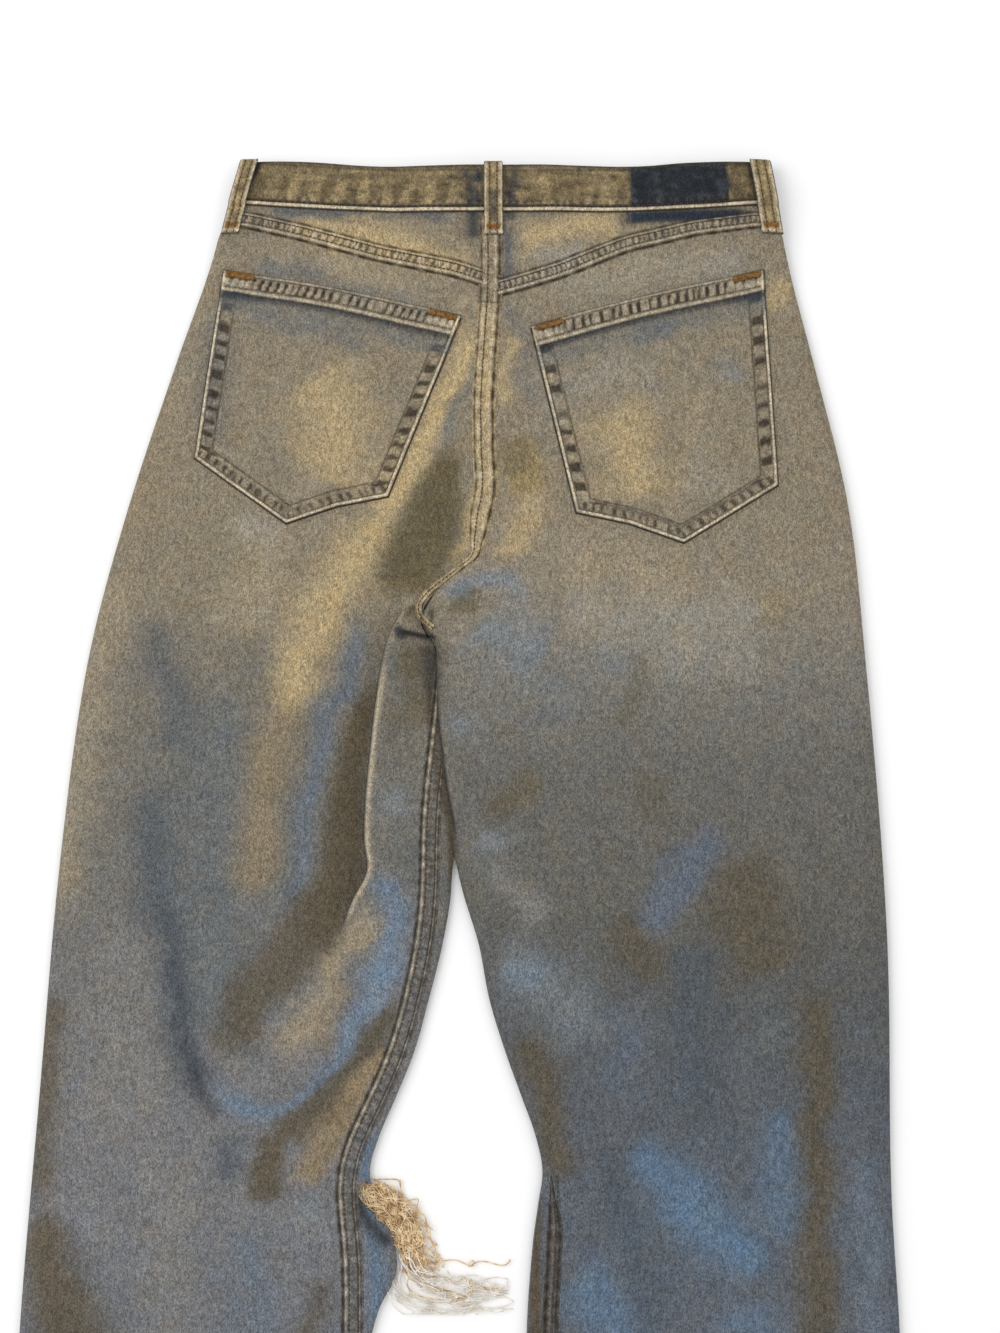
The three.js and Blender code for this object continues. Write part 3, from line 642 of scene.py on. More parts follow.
def denimMaterial():
    look = denimLook
    material, nodes, links, shader = nodeMaterial("washedDenim")
    wash = addNode(nodes, "ShaderNodeAttribute", attribute_name="wash")
    place = addNode(nodes, "ShaderNodeTexCoord")

    def noise(scale, detail, source):
        settings = {"Scale": scale, "Detail": detail, "Roughness": 0.6}
        node = addNode(nodes, "ShaderNodeTexNoise", settings)
        links.new(source, node.inputs["Vector"])
        return node.outputs["Fac"]

    stretched = addNode(nodes, "ShaderNodeMapping", inputs={"Scale": look["streak"]})
    links.new(place.outputs["Object"], stretched.inputs["Vector"])
    fleck = noise(look["fleck"], 0.0, stretched.outputs[0])
    slub = noise(look["slub"], 1.0, stretched.outputs[0])
    mottle = noise(look["mottle"], 2.0, place.outputs["Object"])
    chafe = noise(look["chafe"], 2.0, place.outputs["Object"])
    tintStops = [(0.36, (0.96, 0.98, 1.01)), (0.5, (1, 1, 1)), (0.66, (1.04, 1.01, 0.97))]
    tint = ramp(nodes, links, mottle, tintStops)
    tinted = mixColour(nodes, links, "MULTIPLY", 1.0, wash.outputs["Color"], tint)
    grain = ramp(nodes, links, fleck, [(0.25, 0.62), (0.5, 1.0), (0.75, 1.38)])
    uneven = ramp(nodes, links, slub, [(0.3, 0.79), (0.5, 1.0), (0.7, 1.2)])
    speckled = mixColour(nodes, links, "MULTIPLY", 1.0, tinted, grain)
    grained = mixColour(nodes, links, "MULTIPLY", 1.0, speckled, uneven)
    worn = ramp(nodes, links, chafe, [(0.36, 0.6), (0.5, 1.0), (0.64, 1.4)])
    chafed = mixColour(nodes, links, "MULTIPLY", wash.outputs["Alpha"], grained, worn)
    links.new(chafed, shader.inputs["Base Color"])
    turned = addNode(nodes, "ShaderNodeMapping", inputs={"Rotation": (0, 0, math.radians(62))})
    links.new(place.outputs["Object"], turned.inputs["Vector"])
    waveSettings = {"Scale": look["twill"] / 6.3, "Distortion": 1.5, "Detail": 1.0}
    twill = addNode(nodes, "ShaderNodeTexWave", waveSettings)
    links.new(turned.outputs[0], twill.inputs["Vector"])
    height = addNode(nodes, "ShaderNodeMath", operation="MULTIPLY_ADD", inputs={1: 0.35})
    links.new(twill.outputs["Fac"], height.inputs[0])
    links.new(fleck, height.inputs[2])
    relief = addNode(nodes, "ShaderNodeBump", inputs={"Strength": 0.5, "Distance": 0.0004})
    links.new(height.outputs[0], relief.inputs["Height"])
    links.new(relief.outputs[0], shader.inputs["Normal"])
    shader.inputs["Roughness"].default_value = look["roughness"]
    shader.inputs["Specular IOR Level"].default_value = 0.15
    shader.inputs["Sheen Weight"].default_value = 0.08
    return material


def threadMaterial(name, light, shade, roughness=0.8, metallic=0.0, scale=900):
    material, nodes, links, shader = nodeMaterial(name)
    place = addNode(nodes, "ShaderNodeTexCoord")
    noise = addNode(nodes, "ShaderNodeTexNoise", inputs={"Scale": scale, "Detail": 2.0})
    links.new(place.outputs["Object"], noise.inputs["Vector"])
    twisted = ramp(nodes, links, noise.outputs["Fac"], [(0.35, tuple(shade)), (0.65, tuple(light))])
    links.new(twisted, shader.inputs["Base Color"])
    relief = addNode(nodes, "ShaderNodeBump", inputs={"Strength": 0.4, "Distance": 0.0002})
    links.new(noise.outputs["Fac"], relief.inputs["Height"])
    links.new(relief.outputs[0], shader.inputs["Normal"])
    shader.inputs["Roughness"].default_value = roughness
    shader.inputs["Metallic"].default_value = metallic
    return material


denim = denimMaterial()
brownThread = threadMaterial("brownThread", rgb(84, 66, 46), rgb(44, 36, 28))
darkThread = threadMaterial("darkThread", rgb(58, 46, 34), rgb(34, 28, 22))
rustThread = threadMaterial("rustThread", rgb(142, 100, 40), rgb(92, 62, 22), scale=500)
looseThread = threadMaterial("looseThread", rgb(240, 236, 228), rgb(206, 196, 180), scale=200)
strawThread = threadMaterial("strawThread", rgb(236, 212, 172), rgb(172, 138, 94), scale=220)
agedMetal = threadMaterial(
    "agedMetal", rgb(150, 128, 96), rgb(92, 76, 54), roughness=0.4, metallic=0.9, scale=300,
)
zipTapeCloth = threadMaterial("zipTapeCloth", rgb(84, 96, 112), rgb(60, 70, 84), roughness=0.9)


# Meshes
def placed(name, data):  # a new object in the scene
    made = bpy.data.objects.new(name, data)
    bpy.context.scene.collection.objects.link(made)
    return made


def grown(mid, away):  # a grid moved along its normals
    across = np.gradient(mid, axis=1)
    along = np.gradient(mid, axis=0)
    normal = np.cross(across, along)
    return mid + away * normal / np.maximum(np.linalg.norm(normal, axis=-1, keepdims=True), 1e-9)


insideTone = rgb(150, 156, 162)
crotchGap = {"x": -20, "y": 205, "reach": 36}


def insideAt(grid):  # the wrong side of the denim, with painted shade where it shows in the gap at the crotch
    away = np.hypot(grid[..., 0] - crotchGap["x"], grid[..., 1] - crotchGap["y"])
    return stained(insideTone, "dark", bump(away, crotchGap["reach"], 4)).reshape(-1, 3)


def clothWall(grid, thick, colour, seamy=0.0, keep=None, inside=None):  # a closed wall under a grid
    rows, columns = grid.shape[:2]
    count = rows * columns
    inner = grown(grid, -thick)
    index = np.arange(count).reshape(rows, columns)
    quads = np.stack([index[:-1, :-1], index[:-1, 1:], index[1:, 1:], index[1:, :-1]], -1)
    quads = quads.reshape(-1, 4) if keep is None else quads[keep]
    ends = np.concatenate([quads[:, [k, (k + 1) % 4]] for k in range(4)])
    single = ~np.isin(ends[:, 0] * count + ends[:, 1], ends[:, 1] * count + ends[:, 0])
    edge = ends[single]
    rims = np.stack([edge[:, 1], edge[:, 0], edge[:, 0] + count, edge[:, 1] + count], -1)
    used, faces = np.unique(np.concatenate([quads, quads[:, ::-1] + count, rims]), return_inverse=True)
    points = np.concatenate([grid.reshape(-1, 3), inner.reshape(-1, 3)])[used]
    under = np.broadcast_to(insideTone if inside is None else inside, (count, 3))
    tint = np.concatenate([colour.reshape(-1, 3), under])
    strong = np.broadcast_to(seamy, grid.shape[:2]).reshape(-1)
    alpha = np.concatenate([strong, np.zeros(count)])
    return points, faces.reshape(-1, 4), np.concatenate([tint, alpha[:, None]], 1)[used]


def cloth(name, walls, material=None):  # one object from closed walls
    points, faces, tints, start = [], [], [], 0
    for co, quads, tint in walls:
        points.append(co)
        faces.append(quads + start)
        tints.append(tint)
        start += len(co)
    mesh = bpy.data.meshes.new(name)
    mesh.from_pydata((np.vstack(points) * mm).tolist(), [], np.vstack(faces).tolist())
    mesh.materials.append(material or denim)
    mesh.polygons.foreach_set("use_smooth", np.ones(len(mesh.polygons), bool))
    wash = mesh.attributes.new("wash", "FLOAT_COLOR", "POINT")
    wash.data.foreach_set("color", np.vstack(tints).ravel())
    print(name, len(mesh.polygons) * 2, "triangles")
    return placed(name, mesh)


def declare(piece, node):  # a laid sheet of denim that stands for a node
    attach(piece, "root")
    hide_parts(node)


# Seams: (distance in, tone from -1 dark to 1 cream, height); the dark at each outer edge is painted shade
# beside the raised seam, the other dark lines are stitch rows
felled = [
    (-1.8, 0, 0.1), (-0.9, -0.8, 0.15), (0, -1, 0.3), (0.8, -0.5, 0.8), (1.6, 0.6, 1.15),
    (2.6, 0.5, 1.2), (3.4, -0.8, 0.8), (4.4, 0.25, 1.05), (8.6, 0.25, 1.05), (9.5, -0.9, 0.8),
    (10.4, 0.35, 1.0), (11.2, 0.1, 0.8), (12.0, -1, 0.2), (13.0, -0.6, 0.12), (14, 0, 0.1),
]
centreTrim = [
    (-1.8, 0, 0.1), (-0.8, -0.35, 0.15), (0, -0.8, 0.3), (0.8, -0.1, 0.8), (1.5, 0.2, 1.0),
    (3.5, 0.2, 1.1), (4.3, -0.75, 0.85), (5.1, 0.0, 1.05), (8.2, 0.05, 1.05), (9.0, 0.5, 1.2),
    (10.0, 0.35, 1.1), (11.2, -0.4, 0.7), (12.0, -1, 0.2), (13.0, -0.5, 0.12), (14, 0, 0.1),
]
inseamTrim = [
    (-1.8, 0, 0.1), (-0.9, -0.6, 0.15), (0, -1, 0.3), (0.8, -0.4, 0.8), (1.4, 0.4, 1.1),
    (2.3, 0.35, 1.1), (3.1, -0.7, 0.85), (4.0, -0.05, 1.0), (8.4, -0.05, 1.0), (9.2, -0.85, 0.8),
    (10.0, 0.25, 0.9), (10.8, -0.7, 0.3), (11.8, -0.3, 0.12), (12.6, 0, 0.1),
]
narrow = [
    (-1.8, 0, 0.1), (-0.9, -0.7, 0.15), (0, -1, 0.3), (1.0, -0.5, 0.7), (2.0, 0.7, 1.0),
    (3.2, 0.5, 1.05), (4.2, -0.7, 0.8), (5.2, 0.3, 0.9), (6.2, -1, 0.3), (7.4, -0.5, 0.12),
    (8.2, 0, 0.1),
]


def trimAt(trim, d):
    table = np.array(trim)
    return np.interp(d, table[:, 0], table[:, 1]), np.interp(d, table[:, 0], table[:, 2])


def toned(colour, tone):  # dark below zero, cream above
    light = np.clip(tone, 0, 1)[..., None]
    shade = np.clip(-tone, 0, 1)[..., None]
    return lerp(lerp(colour, tones["cream"], light), tones["seam"], shade)


def ladder(d, run, start, end, pitch, seed, deep=0.85):  # dark ticks across a seam
    ticks = smooth(puckers(run + 0.2 * d, pitch, seed), -0.05, 0.4)
    return ticks * deep * smooth(d, start, start + 1.0) * (1 - smooth(d, end - 1.0, end))


seamStep = {"along": 1.25, "across": 0.85}
noTicks = (1, 1)


def seamStrip(  # a raised seam beside a path, with ticks between the two distances of its window
    path, offset, surface, trim, seed, pitch=5.0, taper=None, window=(3.6, 9.6), deep=0.85, tint=None, face=1,
    strokes=None,
):
    path = curve(path, seamStep["along"])
    tangent = tangents(path)
    run = np.arange(len(path)) * seamStep["along"]
    d = np.arange(trim[0][0], trim[-1][0] + 0.4, seamStep["across"])
    across = (offset + d[None, :] * (1 if taper is None else taper(run)[:, None])) * face
    x = path[:, :1] + across * tangent[:, 1:]
    y = path[:, 1:] - across * tangent[:, :1]
    tone, high = trimAt(trim, np.broadcast_to(d, x.shape))
    ticks = ladder(d[None, :], run[:, None], window[0], window[1], pitch, seed, deep)
    tone = np.clip(tone + 0.22 * puckers(run, 11, seed + 7)[:, None] * (np.abs(tone) > 0.1), -1, 1)
    tone = lerp(tone, -0.85, ticks)
    grid = np.stack([x, y, surface(x, y) + (high - 0.45 * ticks) * (1 if face > 0 else -0.3)], -1)
    wash = washAt(x, y, strokes)
    wash = wash if tint is None else lerp(wash, tint, 0.5)
    return grid, toned(wash, tone)


def offsetPath(path, away):
    path = curve(path, 2)
    tangent = tangents(path)
    return np.stack([path[:, 0] + away * tangent[:, 1], path[:, 1] - away * tangent[:, 0]], 1)


# Stitches
stitchRows = {"brown": [], "rust": [], "band": []}  # paths by thread


def sewn(kind, path, surface, lift):  # a row of stitches along a path on a surface
    path = np.asarray(path, float)
    stitchRows[kind].append(np.column_stack([path, surface(path[:, 0], path[:, 1]) + lift]))


# Panels
def columnsGrid(xAt, count, low, high, share):  # xAt(y)[..., column]; rows run from low(x) to high(x)
    def settle(edge):
        y = np.full(count, 400.0)
        for _ in range(8):
            y = edge(np.diag(xAt(y[:, None])))
        return y

    bottom, top = settle(low), settle(high)
    y = bottom + share[:, None] * (top - bottom)
    x = np.take_along_axis(xAt(y[..., None]), np.arange(count)[None, :, None], -1)[..., 0]
    return x, y


rollShare = 1 - np.cos(np.radians(np.linspace(0, 90, 11)))
nearSeam = 26 * (1 - np.cos(np.radians(np.linspace(90, 0, 20))))
nearFold = np.array([
    -16, -13, -10.5, -8.4, -6.6, -5.1, -3.9, -2.9, -2.1, -1.5, -1.0, -0.5, 0,
    0.5, 1.0, 1.6, 2.5, 3.8, 5.6, 8, 12,
])


def panelColumns(side, inner):  # columns from the side seam to an inner line, closer at folds and seams
    folded = side["inwards"] > 0
    middle = np.linspace(0, 1, 50 if folded else 68)[1:-1]
    behind = np.linspace(0, 1, 8)[1:-1]
    count = len(rollShare) + len(middle) + len(nearSeam) + (len(nearFold) + len(behind)) * folded

    def xAt(y):
        start, end = side["outer"](y), inner(y)
        reach = side["inwards"]
        roll = start + reach * jeans["sideRoll"] * rollShare
        if not folded:
            flat = lerp(roll[..., -1:], end - reach * nearSeam[0], middle)
            return np.concatenate([roll, flat, end - reach * nearSeam], -1)
        fold = pleatLine(y)
        fit = np.clip((end - fold) / 40, 0.2, 1)
        beside = fold + np.where(nearFold > 0, nearFold * fit, nearFold)
        seam = end - nearSeam * fit
        flat = lerp(roll[..., -1:], beside[..., :1], middle)
        return np.concatenate([roll, flat, beside, lerp(beside[..., -1:], seam[..., :1], behind), seam], -1)

    return xAt, count


def toEast(side, grid):  # columns from west to east
    return grid if side["inwards"] > 0 else grid[:, ::-1]


def levels(*spans):  # shares of a height, from (start, end, step) spans in millimetres
    rows = np.concatenate([np.arange(*span) for span in spans])
    return np.append(rows, spans[-1][1]) / spans[-1][1]


rows = levels((0, 20, 2), (20, 742, 3.5), (742, 800, 1.6), (800, 1010, 3.4))  # closer at hem and crotch
hem = {"deep": 13, "lift": 0.9}


def hemLine(x):
    return np.full(x.shape, hemY)


def hemLift(y):  # the turned hem stands out, with a groove at its stitches
    d = y - hemY
    turned = hem["lift"] * (1 - smooth(d, hem["deep"] - 1, hem["deep"] + 1))
    return turned - 0.35 * bump(d - hem["deep"] + 2, 0.9)


def hemTone(y):
    return -0.5 * bump(y - hemY - hem["deep"], 1.2) + 0.5 * bump(y - hemY, 2)


backGrids = {}
for name, side in sides.items():
    xAt, count = panelColumns(side, side["seam"])
    x, y = columnsGrid(xAt, count, hemLine, yokeLine[name], rows)
    middle = toEast(side, np.stack([x, y, topZ(side, x, y)], -1))
    backGrids[name] = grown(middle, jeans["cloth"] / 2 + hemLift(middle[..., 1:2]))

backWalls = {}
for name, grid in backGrids.items():
    colour = toned(washAt(grid[..., 0], grid[..., 1]), hemTone(grid[..., 1]))
    backWalls[name] = [clothWall(grid, jeans["cloth"], colour, inside=insideAt(grid))]
print("back panels shaped")


def seamPath(side, y0, y1):
    y = np.arange(y0, y1, 4.0)
    return np.stack([side["seam"](y), y], 1)


def surfaceOf(side):
    return lambda x, y: topZ(side, x, y) + jeans["cloth"] / 2


left, right = sides["left"], sides["right"]
surfaces = {name: surfaceOf(side) for name, side in sides.items()}
seamGrids = {"left": [], "right": []}
seamLook = {"thick": 1.6, "chafed": 0.5, "stitchLift": 0.95}


def addSeam(name, grid, colour, thick):
    seamGrids[name].append(grid)
    backWalls[name].append(clothWall(grid, thick, colour, seamLook["chafed"]))


# Left inner seam, which slips under the thigh higher up
leftInseam = {"in": -6.5, "rows": (3.9, 9.3), "top": 206, "easing": 11}
slip = through([(-547, 0), (0, 0), (80, 0), (100, 1.6), (120, 5.1), (140, 7.5), (165, 9.6), (206, 12)])
inseam = seamPath(left, hemY + 2, leftInseam["top"])
inseam[:, 0] += slip(inseam[:, 1])
eased = np.convolve(inseam[:, 0], np.ones(leftInseam["easing"]) / leftInseam["easing"], "valid")
inseam[5:-5, 0] = eased
grid, colour = seamStrip(
    inseam, leftInseam["in"], surfaces["left"], inseamTrim, 21, pitch=4, deep=0.4, tint=tones["grey"],
)
addSeam("left", grid, colour, seamLook["thick"])
for row in leftInseam["rows"]:
    sewn("brown", offsetPath(inseam, leftInseam["in"] + row), surfaces["left"], seamLook["stitchLift"])

# Right inner seam, which narrows to nothing below the knee
rightInseam = {"in": -1.5, "row": 2.7, "top": -128, "narrows": (380, 417), "thick": 1.4}
inseamRight = seamPath(right, hemY + 2, rightInseam["top"])
rightTrim = [(d, min(tone, 0.05), high) for d, tone, high in narrow]
grid, colour = seamStrip(
    inseamRight, rightInseam["in"], surfaces["right"], rightTrim, 22,
    taper=lambda run: 1 - 0.9 * smooth(run, *rightInseam["narrows"]), tint=tones["umber"], window=noTicks,
)
addSeam("right", grid, colour, rightInseam["thick"])
sewn("brown", offsetPath(inseamRight, rightInseam["row"]), surfaces["right"], 0.9)

# Centre seam, a cord at the crotch and a felled seam above it
centreSeam = {
    "in": -11.2,
    "row": 4.3,
    "cordIn": -2.2,
    "cordRow": 0.7,
    "thin": 0.34,
    "widens": (58, 106),
    "from": (264, 304),  # where the cord turns into the seam
}
crotchCord = [
    (-17.9, 221), (-21.8, 224.5), (-25.8, 229.2), (-27.2, 236), (-23.2, 242.7), (-12.6, 252.2),
    (-2, 260.4), (9, 270),
]
centre = np.concatenate([crotchCord, seamPath(left, 281, 508)])
backCentre = [point for point in centre if point[1] < 449]
yokeCentre = [point for point in centre if point[1] > 444]
grid, colour = seamStrip(
    backCentre, centreSeam["cordIn"], backZ, centreTrim, 23,
    taper=lambda run: lerp(centreSeam["thin"], 1, smooth(run, *centreSeam["widens"])),
    window=noTicks, tint=tones["tan"],
)
westwards = centreSeam["in"] - centreSeam["cordIn"]  # the seam lies further in than the cord
grid = grid + np.array([westwards, 0, 0]) * smooth(grid[..., 1:2], *centreSeam["from"])
acrossSeam = centreTrim[0][0] + np.arange(grid.shape[1]) * seamStep["across"]
grid[..., 2] = backZ(grid[..., 0], grid[..., 1]) + trimAt(centreTrim, acrossSeam)[1]
addSeam("left", grid, colour, seamLook["thick"])
rowPath = curve(backCentre, 2)
seamRow = centreSeam["in"] + centreSeam["row"] + centreSeam["cordRow"]
rowPath[:, 0] += seamRow * smooth(rowPath[:, 1], *centreSeam["from"]) - centreSeam["cordRow"]
sewn("brown", rowPath, backZ, seamLook["stitchLift"])

for name in sides:
    back = cloth(f"back_{name}_panel", backWalls[name])
    declare(back, f"back_{name}")

# Yokes
yokeShare = np.linspace(0, 1, 26)
yokeSeam = {"in": -0.5, "wide": 0.9, "pitch": 3.7, "window": (3.2, 8.6), "rows": (3.0, 7.9), "chafed": 0.4}
for name, side in sides.items():
    xAt, count = panelColumns(side, side["seam"])
    x, y = columnsGrid(xAt, count, yokeLine[name], lambda x: bandBottom(x) + 5, yokeShare)
    middle = toEast(side, np.stack([x, y, topZ(side, x, y)], -1))
    grid = grown(middle, jeans["cloth"] / 2)
    walls = [clothWall(grid, jeans["cloth"], washAt(grid[..., 0], grid[..., 1]))]
    ends = sorted([side["outer"](506.0) + side["inwards"] * 3, side["seam"](452.0)])
    along = np.linspace(ends[1], ends[0], 60)  # westwards, so that the seam's depth runs upwards
    path = np.stack([along, yokeLine[name](along)], 1)
    trim = [(d * yokeSeam["wide"], tone, high) for d, tone, high in felled]
    seamGrid, colour = seamStrip(
        path, yokeSeam["in"], surfaces[name], trim, 31 + len(name), yokeSeam["pitch"],
        window=yokeSeam["window"],
    )
    walls.append(clothWall(seamGrid, seamLook["thick"], colour, yokeSeam["chafed"]))
    for d in yokeSeam["rows"]:
        sewn("brown", offsetPath(path, d), surfaces[name], seamLook["stitchLift"])
    if name == "left":
        centreGrid, colour = seamStrip(
            yokeCentre, centreSeam["in"], backZ, centreTrim, 33, window=noTicks, tint=tones["khaki"],
        )
        walls.append(clothWall(centreGrid + [0, 0, 0.25], seamLook["thick"], colour, yokeSeam["chafed"]))
        sewn("brown", offsetPath(yokeCentre, centreSeam["in"] + centreSeam["row"]), backZ, 1.2)
    yoke = cloth(f"yoke_{name}_panel", walls)
    declare(yoke, f"yoke_{name}")

# Back pockets
pockets = {
    # corners as shares of the pocket's box: along the mouth, along the foot
    "left": {
        "mouth": [(0.09, 1.022), (0.556, 0.941), (1.01, 0.828)],
        "foot": [(0, 0.261), (0.354, 0), (0.545, 0.068), (0.736, 0.108)],
    },
    "right": {
        "mouth": [(0, 0.802), (0.482, 0.925), (0.964, 1.02)],
        "foot": [(0.181, 0.111), (0.398, 0.069), (0.614, 0), (1, 0.212)],
    },
}
pocketHem = 15.5
# (from, to, pitch, seed, strength) of the dark ticks beside each edge
pocketTicks = {
    "mouth": (3.2, 11.6, 4.4, 41, 1.0),
    "side": (3.4, 11.4, 11, 43, 0.95),
    "foot": (3.6, 9.6, 5.5, 45, 0.85),
}
tackLook = {"long": 20, "fromEnd": 2.5, "in": 3.2, "lift": 2.8}
pocketShadeAndMarks = {  # distances in from the mouth, of a painted shadow, a painted sheen and marks at the tacks, and of the tacks from its ends
    "shadowIn": 17.5,
    "sheenIn": 25,
    "tacksIn": 8.5,
    "edgeIn": 1.2,
    "tacksAlong": 12,
}
# the darkest tone at each outer edge and the dark band from 15.5 in are painted shade beside the raised hem
# and sides; the other dark lines are stitch rows
mouthTrim = [
    (0, -1, 0.2), (0.8, -0.5, 0.8), (1.4, 0.55, 1.1), (2.2, 0.2, 1.0), (3.0, -0.85, 0.8),
    (3.9, 0.2, 1.0), (10.6, 0.2, 1.0), (11.6, -0.9, 0.8), (12.6, 0.1, 1.0), (13.7, 0.6, 1.0),
    (14.6, 0.5, 0.9), (15.5, -0.98, 0.0), (17.5, -0.5, -0.1), (20, 0.0, 0.3), (400, 0, 0.3),
]
sideTrim = [
    (0, -1, 0.0), (0.9, -0.95, 0.4), (1.5, 0.95, 1.0), (2.6, 0.85, 1.0), (3.2, -0.95, 0.55),
    (4.3, 0.0, 0.7), (11.0, 0.0, 0.6), (11.9, -0.8, 0.25), (13.0, 0.0, 0.35), (400, 0, 0.3),
]


def spaced(total, edge, fine, coarse):  # distances from 0 to total, close together near both ends
    ends = np.arange(0, edge, fine)
    inner = np.linspace(edge, total - edge, max(3, int((total - 2 * edge) / coarse)))
    return np.concatenate([ends, inner, total - ends[::-1]])


def alongLine(points, t):  # points at shares of a line's length
    run = runAlong(points)
    return np.stack([np.interp(t * run[-1], run, points[:, k]) for k in range(2)], -1)


for name, look in pockets.items():
    low, high = boxOf(f"back_pocket_{name}")
    wide, tall = (high - low)[:2]
    mouth, foot = (low[:2] + np.array(look[edge]) * (high - low)[:2] for edge in ("mouth", "foot"))
    u = spaced(wide * 0.9, 15, 0.8, 1.3) / (wide * 0.9)
    v = spaced(tall * 0.88, 25, 0.85, 2.1) / (tall * 0.88)
    top, bottom = alongLine(mouth, u)[None], alongLine(foot, u)[None]
    plan = bottom + v[:, None, None] * (top - bottom)
    x, y = plan[..., 0], plan[..., 1]
    mouthLine = curve(mouth, 8)
    ends = [np.array([foot[0], mouth[0]]), np.array([foot[-1], mouth[-1]])]
    found = [nearest(line, x, y) for line in (mouthLine, foot, *ends)]
    fromMouth, fromFoot, fromFirst, fromLast = (np.abs(away) for away, run, total in found)
    runMouth, runFoot, runFirst, runLast = (run for away, run, total in found)
    fromSide = np.minimum(fromFirst, fromLast)
    runSide = np.where(fromFirst < fromLast, runFirst, runLast)
    border = np.minimum(fromSide, fromFoot)
    mouthTone, mouthLift = trimAt(mouthTrim, fromMouth)
    sideTone, lift = trimAt(sideTrim, border)
    tone = np.where(fromMouth < pocketHem + 1, mouthTone, sideTone + mouthTone)
    tone = np.where((border < 2.6) & (fromMouth > 1.5), sideTone, tone)
    lift = np.maximum(lift, mouthLift * (fromMouth < pocketHem + 2))
    beside = {
        "mouth": (fromMouth, runMouth, border > 3),
        "side": (border, runSide, (fromMouth > pocketHem) & (fromFoot > 9)),
        "foot": (fromFoot, runFoot, fromFoot < fromSide + 2),
    }
    ticks = 0
    for edge, (start, end, pitch, seed, deep) in pocketTicks.items():
        away, run, where = beside[edge]
        ticks = np.maximum(ticks, ladder(away, run, start, end, pitch, seed + len(name), deep) * where)
    swell = smooth(border, 12, 45) * smooth(fromMouth, 16, 50)
    rounded = quarterRound(np.minimum(border, fromMouth) / 1.4)
    z = backZ(x, y) + 0.2 + 1.1 * rounded + lift * 0.9 - 0.5 * ticks + 1.3 * swell
    grid = np.stack([x, y, z], -1)
    colour = toned(washAt(x, y), lerp(np.clip(tone, -1, 1), -0.92, ticks))
    # a painted shadow under the hem, deepest at the outer end, and a painted sheen below it
    outerEnd = runMouth if name == "left" else runMouth.max() - runMouth
    deeper = 0.6 + 0.4 * bump(outerEnd - 8, 22)
    shadowWide = 3.2 + 2.5 * bump(outerEnd - 6, 16)
    shadow = bump(fromMouth - pocketShadeAndMarks["shadowIn"], shadowWide) * (fromMouth > pocketHem - 1)
    colour = stained(colour, "night", 0.9 * deeper * shadow)
    sheen = bump(fromMouth - pocketShadeAndMarks["sheenIn"], 6) * (fromMouth > pocketHem)
    colour = stained(colour, "steel", 0.5 * sheen)
    toEnd = np.minimum(runMouth, runMouth.max() - runMouth)
    atTacks = bump(toEnd - pocketShadeAndMarks["tacksAlong"], 11, 4)
    colour = stained(colour, "cream", 0.5 * atTacks * bump(fromMouth - pocketShadeAndMarks["tacksIn"], 2.6, 4))
    colour = stained(colour, "seam", 0.75 * atTacks * bump(fromMouth - pocketShadeAndMarks["edgeIn"], 1.2))
    tackLine = offsetPath(mouthLine, tackLook["in"])
    for first in (tackLook["fromEnd"], runMouth.max() - tackLook["fromEnd"] - tackLook["long"]):
        run = runAlong(tackLine)
        sewn("rust", tackLine[(run >= first) & (run <= first + tackLook["long"])], backZ, tackLook["lift"])
    chafed = 0.5 * ((border < 12) | (fromMouth < pocketHem))
    piece = cloth(f"back_pocket_{name}_panel", [clothWall(grid, jeans["cloth"], colour, chafed)])
    declare(piece, f"back_pocket_{name}")

# The waistband, one strip once round
band = {
    "deep": 34,
    "dip": 14,  # how far the front hangs below the back at the middle
    "overlap": 12,
    "thick": 2.6,
    "step": 1.3,
    "frontStep": 2.2,
    "turnIn": 4,
    "seamUp": 4.2,  # height of the stitch row
}
# tones by height above the band's foot; the dark from 0 to 0.7 is painted shade under its lower edge
bandTrim = [
    (0, -1, 0.0), (0.7, -0.7, 0.7), (1.4, 1.0, 1.0), (2.8, 0.95, 1.0), (3.5, -0.9, 0.6),
    (4.9, -0.5, 0.7), (6.0, 0.1, 0.8), (10, 0.0, 0.8), (29, 0.0, 0.8), (30.2, -0.4, 0.6),
    (31.2, 0.05, 0.8), (36, 0.0, 0.8),
]

xLeft = float(left["outer"](jeans["bandLevel"]))
xRight = float(right["outer"](jeans["bandLevel"]))
roll, turnIn = jeans["sideRoll"], band["turnIn"]
turn = roll * (1 - np.cos(np.radians(np.linspace(0, 90, 16)[:-1])))
flatBack = np.arange(xLeft + roll, xRight - roll, band["step"])
across = np.concatenate([xLeft + turn, flatBack, xRight - turn[::-1]])
under = turnIn * (1 - np.cos(np.radians(np.linspace(0, 90, 6)[1:])))
flatX = np.arange(xLeft + turnIn, xRight - turnIn, band["frontStep"])
middleX = jeans["waistMiddle"]
west = np.concatenate([flatX[flatX < middleX + band["overlap"]][::-1], (xLeft + under)[::-1]])
east = np.concatenate([xRight - under, flatX[flatX > middleX - band["overlap"]][::-1]])
loopX = np.concatenate([west, across, east])
face = np.concatenate([-np.ones(len(west)), np.ones(len(across)), -np.ones(len(east))])
layer = np.concatenate([np.zeros(len(west)), np.zeros(len(across)), np.ones(len(east))])
shareUp = np.concatenate([np.arange(0, 6, 0.7), np.arange(6, 29, 1.5), np.arange(29, 34.01, 0.7)]) / 33.8
shareUp = np.clip(shareUp, 0, 1)[:, None]


def dipAt(x):
    return band["dip"] * smooth(1 - np.abs(x - middleX) / ((xRight - xLeft) / 2), 0, 1)


